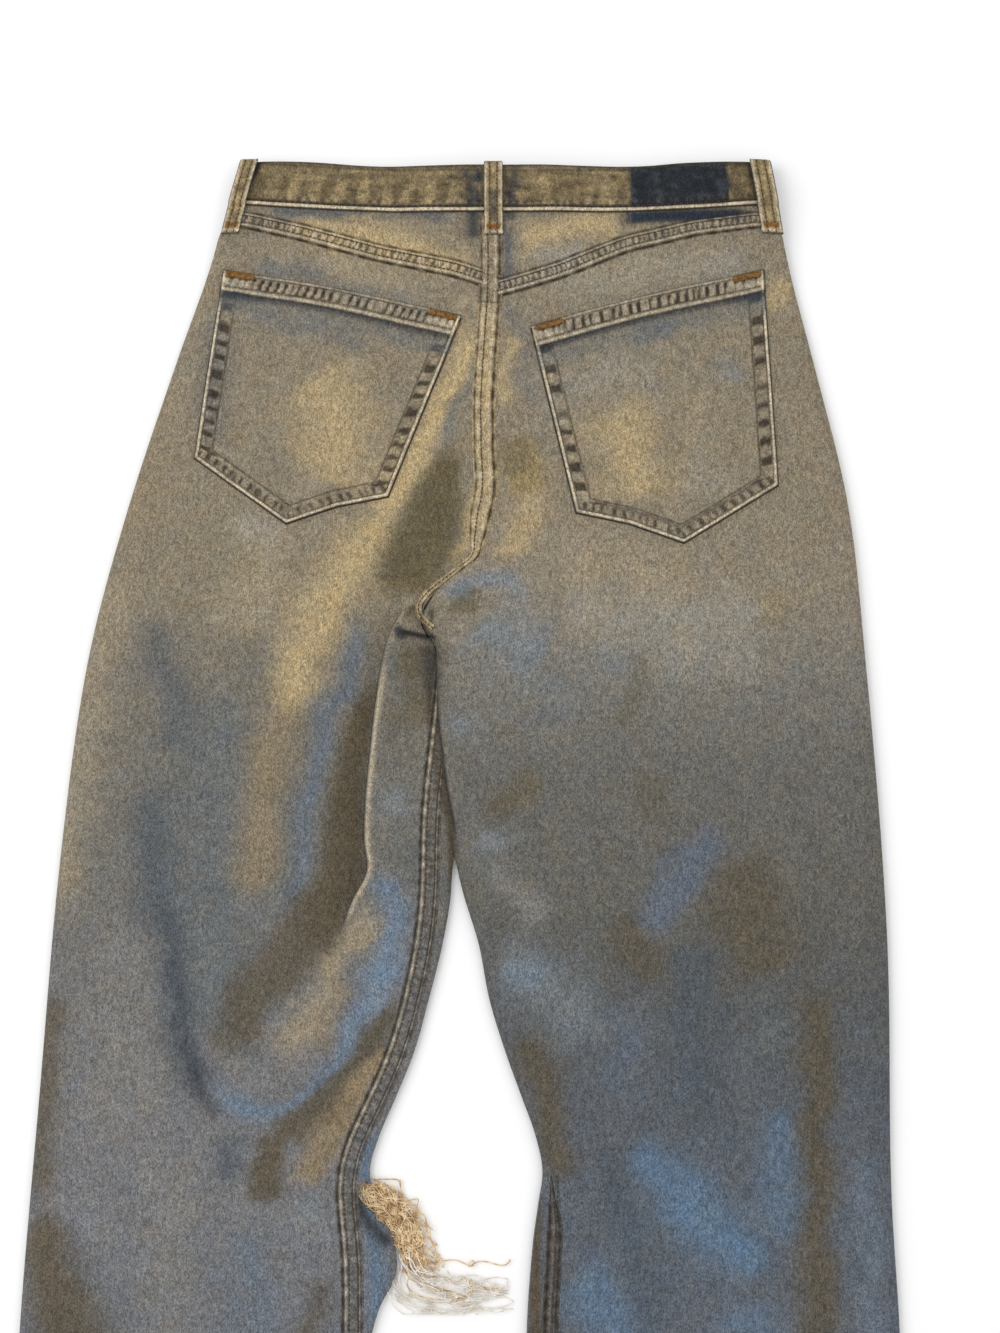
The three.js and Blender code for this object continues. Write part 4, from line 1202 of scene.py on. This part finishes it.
loopLow, loopHigh = boxOf("loop_side_left")[0][0], boxOf("loop_side_right")[1][0]
bandEnds = {  # (bottom, top) across, hidden behind the side loops
    "west": (loopLow + 8, boxOf("loop_side_left")[1][0] - 6.5),
    "east": (loopHigh - 7, boxOf("loop_side_right")[0][0] + 6.5),
}
x = np.broadcast_to(loopX, (len(shareUp), len(loopX)))
drop = np.where(face < 0, dipAt(x), 0)
low, top = bandBottom(x), bandTop(x)
y = lerp(low, top, shareUp) - drop
share = (x - xLeft) / (xRight - xLeft)
xWest, xEast = lerp(*bandEnds["west"], shareUp), lerp(*bandEnds["east"], shareUp)
x = lerp(xWest, xEast, share)
inward = np.where(x < middleX, x - xWest, xEast - x)
topSide = edgeZ(y) + (loft(y) + flyLift(x, y)) * quarterRound(inward / roll)
fromEnd = np.minimum(x - xWest, xEast - x)
lowSide = edgeZ(y) - (edgeZ(y) - frontZ(y) + 0.4) * quarterRound(fromEnd / turnIn)
lowSide = lowSide + 2.6 * layer * (1 - smooth(x, middleX + 12, middleX + 26))
d = shareUp * (top - low)
tone, lift = trimAt(bandTrim, d)
run = runAlong(loopX[:, None])
ticks = ladder(d, run[None], 4.0, 9.0, 5.5, 51, 0.7)
creases = puckers(run, 13, 52)[None] * smooth(d, 4, 8) * (1 - smooth(d, 14, 26))
creases = creases + 0.7 * ripple(x * 0.5, y * 2.2, 16, 53)
z = np.where(face > 0, topSide, lowSide)
middle = np.stack([x, y, z], -1)
topRound = 1.2 * (1 - quarterRound((top - low - d) / 2.2))
away = 0.75 + 1.0 + lift * 0.8 - 0.35 * ticks + 0.35 * creases - topRound
bandGrid = grown(middle, away[..., None])
fine = ripple(x * 0.45, y * 2.4, 9, 54) + 0.6 * ripple(x * 1.6, y * 0.5, 10, 55)
bandTint = stained(tones["bandTan"], "tan", 0.3 * smooth(creases, 0.1, 0.9))
bandTint = stained(bandTint, "umber", 0.55 * smooth(-creases, 0.1, 0.9))
bandTint = stained(bandTint, "seam", 0.5 * smooth(fine, 0.55, 1.1))
onBack = (face > 0)[None]
# the unfaded place of a lost label, and the dim strip beside it
label = {"from": (114, 116.5), "to": (182, 184), "up": (1.5, 3), "dimFrom": (184, 185), "dimTo": (197, 199)}
patch = onBack * smooth(x, *label["from"]) * (1 - smooth(x, *label["to"])) * smooth(d, *label["up"])
unfaded = stained(tones["night"] * 0.6, "slate", 0.3 * smooth(fine + creases, 0, 1.4))
bandTint = lerp(bandTint, unfaded, (0.97 * patch)[..., None])
beyond = onBack * smooth(x, *label["dimFrom"]) * (1 - smooth(x, *label["dimTo"]))
bandTint = stained(bandTint, "umber", 0.5 * beyond)
# painted shade beside the back belt loop
loopShade = onBack * (1.2 * bump(x - 8, 8) + bump(x - 34, 6))
uneven = 0.75 + 0.35 * ripple(x, y, 11, 56)
bandTint = stained(bandTint, "night", np.clip(0.8 * loopShade * uneven, 0, 1))
# painted shade along the top edge and at the ends behind the side loops
bandTint = stained(bandTint, "seam", 0.9 * bump(top - low - d, 2.6))
bandTint = stained(bandTint, "dark", 0.85 * onBack * (1 - smooth(fromEnd, 6, 10)))
bandTint = toned(bandTint, np.clip(lerp(tone * (1 - 0.5 * patch), -0.7, ticks), -1, 1))
stitchedRow = int(np.argmin(np.abs(shareUp * band["deep"] - band["seamUp"])))
stitchRows["band"].append(bandGrid[stitchedRow, face > 0] + [0, 0, 0.3])
waistband = cloth("waistband_cloth", [clothWall(bandGrid, band["thick"], bandTint, 0.35)])
declare(waistband, "waistband")


def bandZ(x, y):  # outer face of the back with the waistband on it
    return backZ(x, y) + 2.4 * smooth(y, bandBottom(x) - 1.5, bandBottom(x) + 1)


# Front panels: the underside, turned up round each inner leg to its inseam
def underZ(x, y):
    return frontZ(y) - jeans["cloth"] / 2


tear = {
    "x": -104,
    "y": -161,
    "wide": 48,
    "tall": 24,
    "until": -64,  # where the oval hole runs on as a slit to the inner seam
    "from": -86,
    "top": -133,
    "edge": (-61, -145),
}


def torn(x, y):
    rough = 1.3 * ripple(x, y, 9, 61)
    oval = ((x - tear["x"]) / tear["wide"]) ** 2 + ((y + rough - tear["y"]) / tear["tall"]) ** 2 < 1
    edgeX, edgeY = tear["edge"]
    lowest = edgeY - 0.96 * np.maximum(x - edgeX, 0) - 0.6 * np.maximum(edgeX - x, 0)
    side = (x > tear["from"]) & (x < 0) & (y + rough > lowest) & (y + rough < tear["top"])
    return (oval & (x < tear["until"])) | side


turnShare = 1 - np.cos(np.radians(np.linspace(0, 90, 6)))
wrapShare = np.linspace(0, 1, 13)[1:]
flatShare = np.linspace(0, 1, 52)[1:-1]
frontRows = levels((0, 20, 2.5), (20, 330, 4.2), (330, 440, 1.8), (440, 1050, 4.2))
frontWalls, frontGrids = {}, {}
frontRoll = {"outer": 4, "inner": 3, "ends": (206, 232)}
below = len(turnShare) * 2 + len(flatShare)
for name, side in sides.items():
    reach = side["inwards"]

    def acrossAt(y):
        start, end = side["outer"](y), side["inner"](y)
        first = start + reach * frontRoll["outer"] * turnShare
        last = end - reach * frontRoll["inner"] * (1 - smooth(y, *frontRoll["ends"])) * turnShare[::-1]
        return np.concatenate([first, lerp(first[..., -1:], last[..., :1], flatShare), last], -1)

    x, y = columnsGrid(acrossAt, below, hemLine, frontTop[name], frontRows)
    fromOuter = reach * (x - side["outer"](y))
    fromInner = reach * (side["inner"](y) - x)
    innerLift = (1 - quarterRound(fromInner / frontRoll["inner"])) * (1 - smooth(y, *frontRoll["ends"]))
    lift = (1 - quarterRound(fromOuter / frontRoll["outer"])) + innerLift
    z = frontZ(y) + (edgeZ(y) - frontZ(y)) * np.minimum(lift, 1)
    yTop = np.repeat(y[:, -1:], len(wrapShare), 1)
    wrap = np.maximum(reach * (side["inner"](yTop) - side["seam"](yTop)), 0.5)
    xTop = side["inner"](yTop) - reach * wrap * wrapShare
    grid = np.concatenate([np.stack([x, y, z], -1), np.stack([xTop, yTop, topZ(side, xTop, yTop)], -1)], 1)
    onTop = np.arange(grid.shape[1]) >= below
    if reach > 0:
        grid, onTop = grid[:, ::-1], onTop[::-1]
    middle = grid
    grid = grown(middle, jeans["cloth"] / 2)
    topColour, underColour = (
        washAt(grid[..., 0], grid[..., 1], strokes) for strokes in (None, frontBlotches)
    )
    colour = np.where(onTop[None, :, None], topColour, underColour)
    centre = (middle[1:, 1:] + middle[:-1, :-1]) / 2
    keep = ~((onTop[1:] & onTop[:-1])[None] & (centre[..., 1] > 214))
    if reach > 0:
        keep &= ~torn(centre[..., 0], centre[..., 1])
    colour = toned(colour, hemTone(grid[..., 1]))
    frontGrids[name] = grid
    frontWalls[name] = [clothWall(grid, jeans["cloth"], colour, keep=keep, inside=insideAt(grid))]

flySeam = [(float(left["seam"](y)), y) for y in np.arange(230, 500, 5)]
grid, colour = seamStrip(flySeam, -6, underZ, narrow, 71, face=-1, strokes=frontBlotches, window=noTicks)
frontWalls["left"].append(clothWall(grid, 1.2, colour, 0.4))
sewn("brown", offsetPath(flySeam, 3.2), underZ, -0.3)
flyJ = [(-12, 496), (-11, 440), (-8, 392), (0, 364), (20, 352)]
for away in (0, 5):
    sewn("brown", offsetPath(curve(flyJ), away), underZ, -0.15)
mouthX = {"left": (-150, -78), "right": (132, 206)}
for name, span in mouthX.items():
    x = np.linspace(*span, 40)
    for away in (3, 9):
        sewn("brown", np.stack([x, frontTop[name](x) - away], 1), underZ, -0.15)
for name in sides:
    front = cloth(f"front_{name}_panel", frontWalls[name])
    declare(front, f"front_{name}")

# Pocket facings, behind the scooped mouths
for name, side in sides.items():
    low, high = boxOf(f"pocket_facing_{name}")
    t = np.linspace(0, 1, 34)
    rise = t[:, None]
    inward = high[0] if name == "left" else low[0]
    edge = side["outer"](495.0) + side["inwards"] * 5
    x = np.tile(lerp(edge, inward, t), (len(t), 1))
    y = low[1] + 6 * (1 - quarterRound((1 - t) / 0.3)) + rise * (bandBottom(x) - dipAt(x) + 3 - low[1])
    keepIn = side["outer"](y) + side["inwards"] * 5
    x = np.maximum(x, keepIn) if name == "left" else np.minimum(x, keepIn)
    middle = np.stack([x, y, frontZ(y) + 1.6 + 0.15 * ripple(x, y, 25, 81)], -1)
    middle = middle[:, ::-1] if name == "left" else middle
    grid = grown(middle, 0.5)
    colour = washAt(grid[..., 0], grid[..., 1], []) * 0.9
    facing = cloth(f"pocket_facing_{name}_cloth", [clothWall(grid, 1.0, colour)])
    declare(facing, f"pocket_facing_{name}")

# Belt loops
loopLook = {"wide": 13, "thick": 1.4, "arch": 1.4, "row": 2.6}
loopLean = {  # 1 leans fully to the east
    "loop_back": -0.05,
    "loop_side_left": 1,
    "loop_side_right": -1,
    "loop_front_left": 0,
    "loop_front_right": 0,
}
for node, lean in loopLean.items():
    low, high = boxOf(node)
    onFront = "front" in node
    half = loopLook["wide"] / 2
    reach = (high[0] - low[0]) / 2 - half
    u = np.linspace(-half, half, 14)
    v = np.linspace(0, 1, 54)[:, None]
    aside = abs(lean) == 1
    shift = reach * (2 * v - 1) * min(1, abs(lean) * 4) - 1.2 * aside
    centreX = (low[0] + high[0]) / 2 + np.sign(lean) * shift
    x = centreX + u * {-1: 1.14, 1: 0.95}.get(lean, 1) * (1 - 0.12 * smooth(v, 0.93, 1.0))
    y = low[1] + v * (high[1] + 2.4 * aside - low[1]) + 0 * u
    edge = 0.35 * bump(np.abs(u) - half + 1.2, 1.2) - 0.25 * bump(np.abs(u) - 2.6, 0.7)
    if onFront:
        z = frontZ(y) - 0.75 - 2.2 * smooth(y, low[1] + 8, low[1] + 14) - 0.9 - edge
        z = np.maximum(z + 2.2 * smooth(v, 0.93, 1.0), 0.15)
        grid = np.stack([x, y, z], -1)[:, ::-1]
    else:
        ground = bandZ(x, np.minimum(y, bandTop(x) - 3))
        arch = loopLook["arch"] * np.sin(np.pi * np.clip((v - 0.08) / 0.84, 0, 1)) ** 0.7
        z = ground + 1.5 + arch + edge - 3.4 * smooth(v, 0.95, 1.0) ** 2
        grid = np.stack([x, y, z], -1)
    outer = np.broadcast_to(np.abs(u) / half, x.shape)
    tall = np.broadcast_to(v * (high[1] - low[1]), x.shape)
    worn = 0.5 + 0.5 * ripple(x, y, 14, 57)
    colour = stained(tones["bandTan"], "tan", 0.7 * worn)
    colour = stained(colour, "umber", 0.8 * bump(np.abs(u) - 2.4, 0.9) * (0.6 + 0.4 * worn))
    if node == "loop_back":
        blueStrip = bump(u, 2.6, 4)[None] * (1 - smooth(v, 0.45, 0.7)) * smooth(v, 0.14, 0.2)
        colour = stained(colour, "night", 0.7 * blueStrip)
    colour = stained(colour, "cream", 0.75 * smooth(outer, 0.62, 0.78) * (1 - smooth(outer, 0.92, 1.0)))
    # painted shade along the loop's edges
    colour = stained(colour, "seam", smooth(outer, 0.9, 1.0))
    colour = stained(colour, "rust", 0.85 * bump(tall - 6, 2, 4) * (outer < 0.7))
    colour = stained(colour, "cream", 0.75 * bump(tall - 2.2, 1.1))
    # painted shade at its foot
    colour = stained(colour, "seam", bump(tall, 0.9))
    piece = cloth(f"{node}_cloth", [clothWall(grid, loopLook["thick"], colour, 0.5)])
    declare(piece, node)
    if not onFront:
        for fromMiddle in (-loopLook["row"], loopLook["row"]):
            k = int(np.argmin(np.abs(u - fromMiddle)))
            stitchRows["brown"].append(grid[2:-3:2, k] + [0, 0, 0.1])


# Threads grown along lines
def threadTree(name, material, tubeOnly=False):
    tree = bpy.data.node_groups.new(name, "GeometryNodeTree")
    sockets = tree.interface
    sockets.new_socket("Geometry", in_out="INPUT", socket_type="NodeSocketGeometry")
    for label, value in (("Pitch", 0.003), ("Length", 0.0024), ("Thickness", 0.0006), ("Height", 0.0006)):
        socket = sockets.new_socket(label, in_out="INPUT", socket_type="NodeSocketFloat")
        socket.default_value = value
    seed = sockets.new_socket("Seed", in_out="INPUT", socket_type="NodeSocketInt")
    seed.default_value = 5
    sockets.new_socket("Geometry", in_out="OUTPUT", socket_type="NodeSocketGeometry")
    nodes, links = tree.nodes, tree.links
    enter, leave = nodes.new("NodeGroupInput"), nodes.new("NodeGroupOutput")
    toCurve = nodes.new("GeometryNodeMeshToCurve")
    links.new(enter.outputs["Geometry"], toCurve.inputs[0])
    paint = nodes.new("GeometryNodeSetMaterial")
    paint.inputs["Material"].default_value = material
    if tubeOnly:
        ring = addNode(nodes, "GeometryNodeCurvePrimitiveCircle", {"Resolution": 5})
        links.new(enter.outputs["Thickness"], ring.inputs["Radius"])
        tube = addNode(nodes, "GeometryNodeCurveToMesh", {"Fill Caps": True})
        links.new(toCurve.outputs[0], tube.inputs["Curve"])
        links.new(ring.outputs[0], tube.inputs["Profile Curve"])
        whole = nodes.new("GeometryNodeRealizeInstances")
        links.new(tube.outputs[0], whole.inputs[0])
    else:
        even = addNode(nodes, "GeometryNodeResampleCurve", mode="LENGTH")
        links.new(toCurve.outputs[0], even.inputs["Curve"])
        links.new(enter.outputs["Pitch"], even.inputs["Length"])
        ball = addNode(nodes, "GeometryNodeMeshUVSphere", {"Segments": 6, "Rings": 4, "Radius": 0.5})
        size = nodes.new("ShaderNodeCombineXYZ")
        links.new(enter.outputs["Thickness"], size.inputs["X"])
        links.new(enter.outputs["Height"], size.inputs["Y"])
        links.new(enter.outputs["Length"], size.inputs["Z"])
        tangent = nodes.new("GeometryNodeInputTangent")
        point = addNode(nodes, "FunctionNodeAlignRotationToVector", axis="Z")
        links.new(tangent.outputs[0], point.inputs["Vector"])
        sizes = {"Min": (0.8, 0.8, 0.82), "Max": (1.15, 1.15, 1.08)}
        vary = addNode(nodes, "FunctionNodeRandomValue", sizes, data_type="FLOAT_VECTOR")
        links.new(enter.outputs["Seed"], vary.inputs["Seed"])
        scale = addNode(nodes, "ShaderNodeVectorMath", operation="MULTIPLY")
        links.new(size.outputs[0], scale.inputs[0])
        links.new(vary.outputs[0], scale.inputs[1])
        place = nodes.new("GeometryNodeInstanceOnPoints")
        links.new(even.outputs[0], place.inputs["Points"])
        links.new(ball.outputs["Mesh"], place.inputs["Instance"])
        links.new(point.outputs[0], place.inputs["Rotation"])
        links.new(scale.outputs[0], place.inputs["Scale"])
        whole = nodes.new("GeometryNodeRealizeInstances")
        links.new(place.outputs[0], whole.inputs[0])
    links.new(whole.outputs[0], paint.inputs["Geometry"])
    links.new(paint.outputs[0], leave.inputs[0])
    return tree


def grownFrom(name, lines, tree, settings):  # a plain mesh that the tree makes from lines in millimetres
    points, edges, start = [], [], 0
    for line in lines:
        points.append(line)
        edges += [(start + k, start + k + 1) for k in range(len(line) - 1)]
        start += len(line)
    mesh = bpy.data.meshes.new(name + "_lines")
    mesh.from_pydata((np.vstack(points) * mm).tolist(), edges, [])
    maker = placed(name + "_lines", mesh)
    modifier = maker.modifiers.new("grow", "NODES")
    modifier.node_group = tree
    for item in tree.interface.items_tree:
        if item.in_out == "INPUT" and item.name in settings:
            modifier[item.identifier] = settings[item.name]
    depsgraph = bpy.context.evaluated_depsgraph_get()
    made = bpy.data.meshes.new_from_object(maker.evaluated_get(depsgraph))
    made.name = name
    made.polygons.foreach_set("use_smooth", np.ones(len(made.polygons), bool))
    bpy.data.objects.remove(maker)
    piece = placed(name, made)
    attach(piece, "root")
    print(name, sum(len(face.vertices) - 2 for face in made.polygons), "triangles")
    return piece


stitchMaterials = {"brown": brownThread, "rust": rustThread, "band": darkThread}
stitchLook = {  # in metres
    "brown": {"Pitch": 0.003, "Length": 0.0024, "Thickness": 0.0009, "Height": 0.0009, "Seed": 3},
    "rust": {"Pitch": 0.0007, "Length": 0.0012, "Thickness": 0.0017, "Height": 0.0055, "Seed": 4},
    "band": {"Pitch": 0.0042, "Length": 0.003, "Thickness": 0.0012, "Height": 0.0015, "Seed": 6},
}
for kind, look in stitchLook.items():
    tree = threadTree(f"{kind}StitchRow", stitchMaterials[kind])
    piece = grownFrom(f"stitches_{kind}", stitchRows[kind], tree, look)


# Button, zip and its slider
def turned(name, profile, place, material, around=48):  # a lathe-turned piece on the z axis
    profile = np.array(profile)
    angle = np.linspace(0, math.tau, around, endpoint=False)
    ring = np.stack([np.cos(angle), np.sin(angle)], -1)
    points = [np.append(place[:2], profile[0, 1])]
    for radius, z in profile[1:-1]:
        points += [(*(place[:2] + radius * p), z) for p in ring]
    points.append(np.append(place[:2], profile[-1, 1]))
    faces = [(0, 1 + (k + 1) % around, 1 + k) for k in range(around)]
    for row in range(len(profile) - 3):
        a = 1 + row * around
        faces += [
            (a + k, a + (k + 1) % around, a + around + (k + 1) % around, a + around + k)
            for k in range(around)
        ]
    a, last = 1 + (len(profile) - 3) * around, len(points) - 1
    faces += [(a + k, a + (k + 1) % around, last) for k in range(around)]
    mesh = bpy.data.meshes.new(name)
    mesh.from_pydata((np.array(points) * mm).tolist(), [], faces)
    mesh.polygons.foreach_set("use_smooth", np.ones(len(mesh.polygons), bool))
    mesh.materials.append(material)
    made = placed(name, mesh)
    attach(made, "root")
    return made


low, high = boxOf("button")
buttonProfile = [
    (0, 0.5), (2.6, 0.45), (3.4, 0.75), (5.6, 0.8), (6.4, 0.4), (7.6, 0.3), (8.3, 0.7), (8.5, 1.3),
    (8.2, 2.0), (7.2, 2.3), (2.7, 2.4), (2.3, 2.9), (2.3, 6.1), (4.4, 6.5), (4.8, 7.2), (4.2, 7.9),
    (2.6, 8.3), (0, 8.4),
]
button = turned("button_shank", buttonProfile, (low[:2] + high[:2]) / 2, agedMetal)
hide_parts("button")

low, high = boxOf("zip")
zipY = np.linspace(low[1] + 1, high[1] - 1, 60)[:, None]
tapes = []
tapeTone = rgb(70, 80, 96)
for u in (np.linspace(-13, -0.4, 12)[None], np.linspace(0.4, 13, 12)[None]):
    x = left["seam"](zipY) - 0.6 + u
    z = frontZ(zipY) + 2.3 + 0.25 * bump(np.abs(u) - 1, 1.2)
    grid = np.stack([x, np.broadcast_to(zipY, x.shape), z], -1)
    tapes.append(clothWall(grid, 0.6, np.broadcast_to(tapeTone, grid.shape), inside=tapeTone))
tape = cloth("zip_tapes", tapes, zipTapeCloth)

teethTree = threadTree("zipTeeth", agedMetal)
teeth = []
for way, shift in ((-1, 0), (1, 1)):
    y = np.arange(low[1] + 2 + shift, high[1] - 3, 2.0)
    teeth.append(np.column_stack([left["seam"](y) - 0.6 + way * 0.7, y, frontZ(y) + 2.6]))
toothSize = {"Pitch": 0.002, "Length": 0.0013, "Thickness": 0.0032, "Height": 0.0018}  # in metres
zipTeeth = grownFrom("zip_teeth", teeth, teethTree, toothSize)
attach(tape, "root")
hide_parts("zip")

low, high = boxOf("zip_slider")
sliderBody = [(-3.3, 0), (-3.4, 4), (-2.6, 7.4), (-1.2, 8.6), (1.2, 8.6), (2.6, 7.4), (3.4, 4), (3.3, 0)]
outline = curve(sliderBody + sliderBody[:1], 1.2)[:-1]
rings = []
for z, inset in ((0, 0.86), (0.35, 1.0), (2.6, 1.0), (3.0, 0.86)):
    ring = (outline - [0, 4]) * inset + [(low[0] + high[0]) / 2, high[1] - 5]
    rings.append(np.column_stack([ring, np.full(len(ring), low[2] + 0.4 + z)]))
count = len(outline)
points = np.vstack(rings)
faces = [tuple(range(count)), tuple(range(4 * count - 1, 3 * count - 1, -1))]
for row in range(3):
    a = row * count
    faces += [(a + (k + 1) % count, a + k, a + count + k, a + count + (k + 1) % count) for k in range(count)]
mesh = bpy.data.meshes.new("zip_slider_body")
mesh.from_pydata((points * mm).tolist(), [], faces)
mesh.materials.append(agedMetal)
slider = placed("zip_slider_body", mesh)
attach(slider, "root")
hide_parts("zip_slider")


# Loose threads of the torn knee
def strands(count, flow, spread, seed, length=(0.5, 1.0), start=(0, 0.3), curl=2.2):
    rng = np.random.default_rng(seed)
    spine = curve(flow, 1.5)
    tangent = tangents(spine)
    normal = np.stack([-tangent[:, 1], tangent[:, 0]], 1)
    lines = []
    for _ in range(count):
        first = int(rng.uniform(*start) * len(spine))
        last = min(len(spine), first + int(rng.uniform(*length) * len(spine)))
        if last - first < 8:
            continue
        t = np.linspace(first / len(spine), last / len(spine), last - first)
        lane = rng.normal(0, 0.45) + 0.5 * np.sin(math.tau * (t * rng.uniform(0.4, 1.4) + rng.uniform()))
        lane = lane + 0.18 * np.sin(math.tau * (t * rng.uniform(3, 7) + rng.uniform()))
        away = lane * spread(t)
        drift = curl * np.sin(math.tau * (t * rng.uniform(1.5, 4) + rng.uniform()))
        plan = spine[first:last] + normal[first:last] * away[:, None] + tangent[first:last] * drift[:, None]
        rise = rng.uniform(0.3, 3.2)
        height = 0.7 + rise * (0.6 + 0.4 * np.sin(math.tau * (t * rng.uniform(1, 3) + rng.uniform())))
        lines.append(np.column_stack([plan, height * smooth(1.15 - t, 0, 0.5) + 0.3]))
    return lines


kneeFlow = [(-64, -137), (-52, -143), (-42, -152), (-33, -163), (-27, -175), (-22, -187)]
tailFlow = [(-36, -166), (-31, -180), (-22, -191), (-6, -197), (12, -198), (30, -196)]
wispFlow = [(-40, -176), (-40, -192), (-32, -205), (-12, -210), (8, -207), (26, -204)]
low, high = boxOf("knee_threads")
tangle = strands(88, kneeFlow, lambda t: 13 - 4 * t, 91, (0.4, 1.0), (0, 0.35), 3.5)
tail = strands(19, tailFlow, lambda t: 5 + 6 * t, 92, (0.6, 1.0), (0, 0.3), 6)
wisps = strands(10, wispFlow, lambda t: 7, 93, (0.5, 1.0), (0, 0.3), 8)
rng = np.random.default_rng(94)
bridges = []
for y in np.linspace(-182, -140, 22):
    t = np.linspace(0, 1, 18)
    half = tear["wide"] * math.sqrt(max(0.05, 1 - ((y - tear["y"]) / (tear["tall"] + 2)) ** 2))
    x = tear["x"] - half - 3 + t * (half - 2 * rng.uniform(0, 1) + 3 + 44)
    wave = rng.uniform(0.5, 2.2) * np.sin(math.pi * t * rng.uniform(0.8, 2.2) + rng.uniform(0, 3))
    bridges.append(np.column_stack([x, y + wave, 0.75 + 0.5 * np.sin(math.pi * t)]))


def inBox(lines, low, high):  # strands kept inside their solid's box
    return [np.clip(line, low - [3, 3, 0], high + [3, 3, 4]) for line in lines]


threadPieces = {
    "knee_threads_tan": (tangle + tail[:6], strawThread, 0.00040, ["knee_threads"]),
    "knee_threads_pale": (tail[6:] + wisps, looseThread, 0.00034, []),
    "knee_threads_across": (bridges, looseThread, 0.00034, []),
}
for name, (lines, material, thick, stands) in threadPieces.items():
    tree = threadTree(f"{name}_tubes", material, tubeOnly=True)
    lines = lines if name.endswith("across") else inBox(lines, low, high)
    piece = grownFrom(name, lines, tree, {"Thickness": thick})
    if stands:
        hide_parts(*stands)

# Camera, light and floor
bpy.ops.mesh.primitive_plane_add(size=40, location=(0, 0, -0.0008))
floor = bpy.context.object
floor.name = "floor"
paper, nodes, links, shader = nodeMaterial("paper")
shader.inputs["Base Color"].default_value = (0.93, 0.93, 0.93, 1)
shader.inputs["Roughness"].default_value = 0.9
shader.inputs["Specular IOR Level"].default_value = 0.1
floor.data.materials.append(paper)

world = bpy.data.worlds.new("studio")
bpy.context.scene.world = world
world.use_nodes = True
world.node_tree.nodes["Background"].inputs["Color"].default_value = (1, 1, 1, 1)
world.node_tree.nodes["Background"].inputs["Strength"].default_value = 0.82

lampAim = Vector((0, 0.15, 0))
for name, place, wide, power in (("window", (-1.3, 0.5, 1.5), 1.4, 16), ("fill", (1.6, -0.4, 2.2), 2.0, 8.5)):
    lamp = bpy.data.lights.new(name, "AREA")
    lamp.size = wide
    lamp.energy = power
    lit = placed(name, lamp)
    lit.location = place
    lit.rotation_euler = (lampAim - Vector(place)).to_track_quat("-Z", "Y").to_euler()

view = {
    "lens": 50,
    "sensor": 36,
    "lookAt": Vector((0.026, 0.1965, 0)),
    "away": 1.222,
    "tilt": math.radians(10),
}
camera = bpy.data.cameras.new("camera")
camera.lens = view["lens"]
camera.sensor_width = view["sensor"]
eye = placed("camera", camera)
eye.location = view["lookAt"] + view["away"] * Vector((0, -math.sin(view["tilt"]), math.cos(view["tilt"])))
eye.rotation_euler = (view["lookAt"] - eye.location).to_track_quat("-Z", "Y").to_euler()
bpy.context.scene.camera = eye
bpy.context.scene.view_settings.view_transform = "Standard"
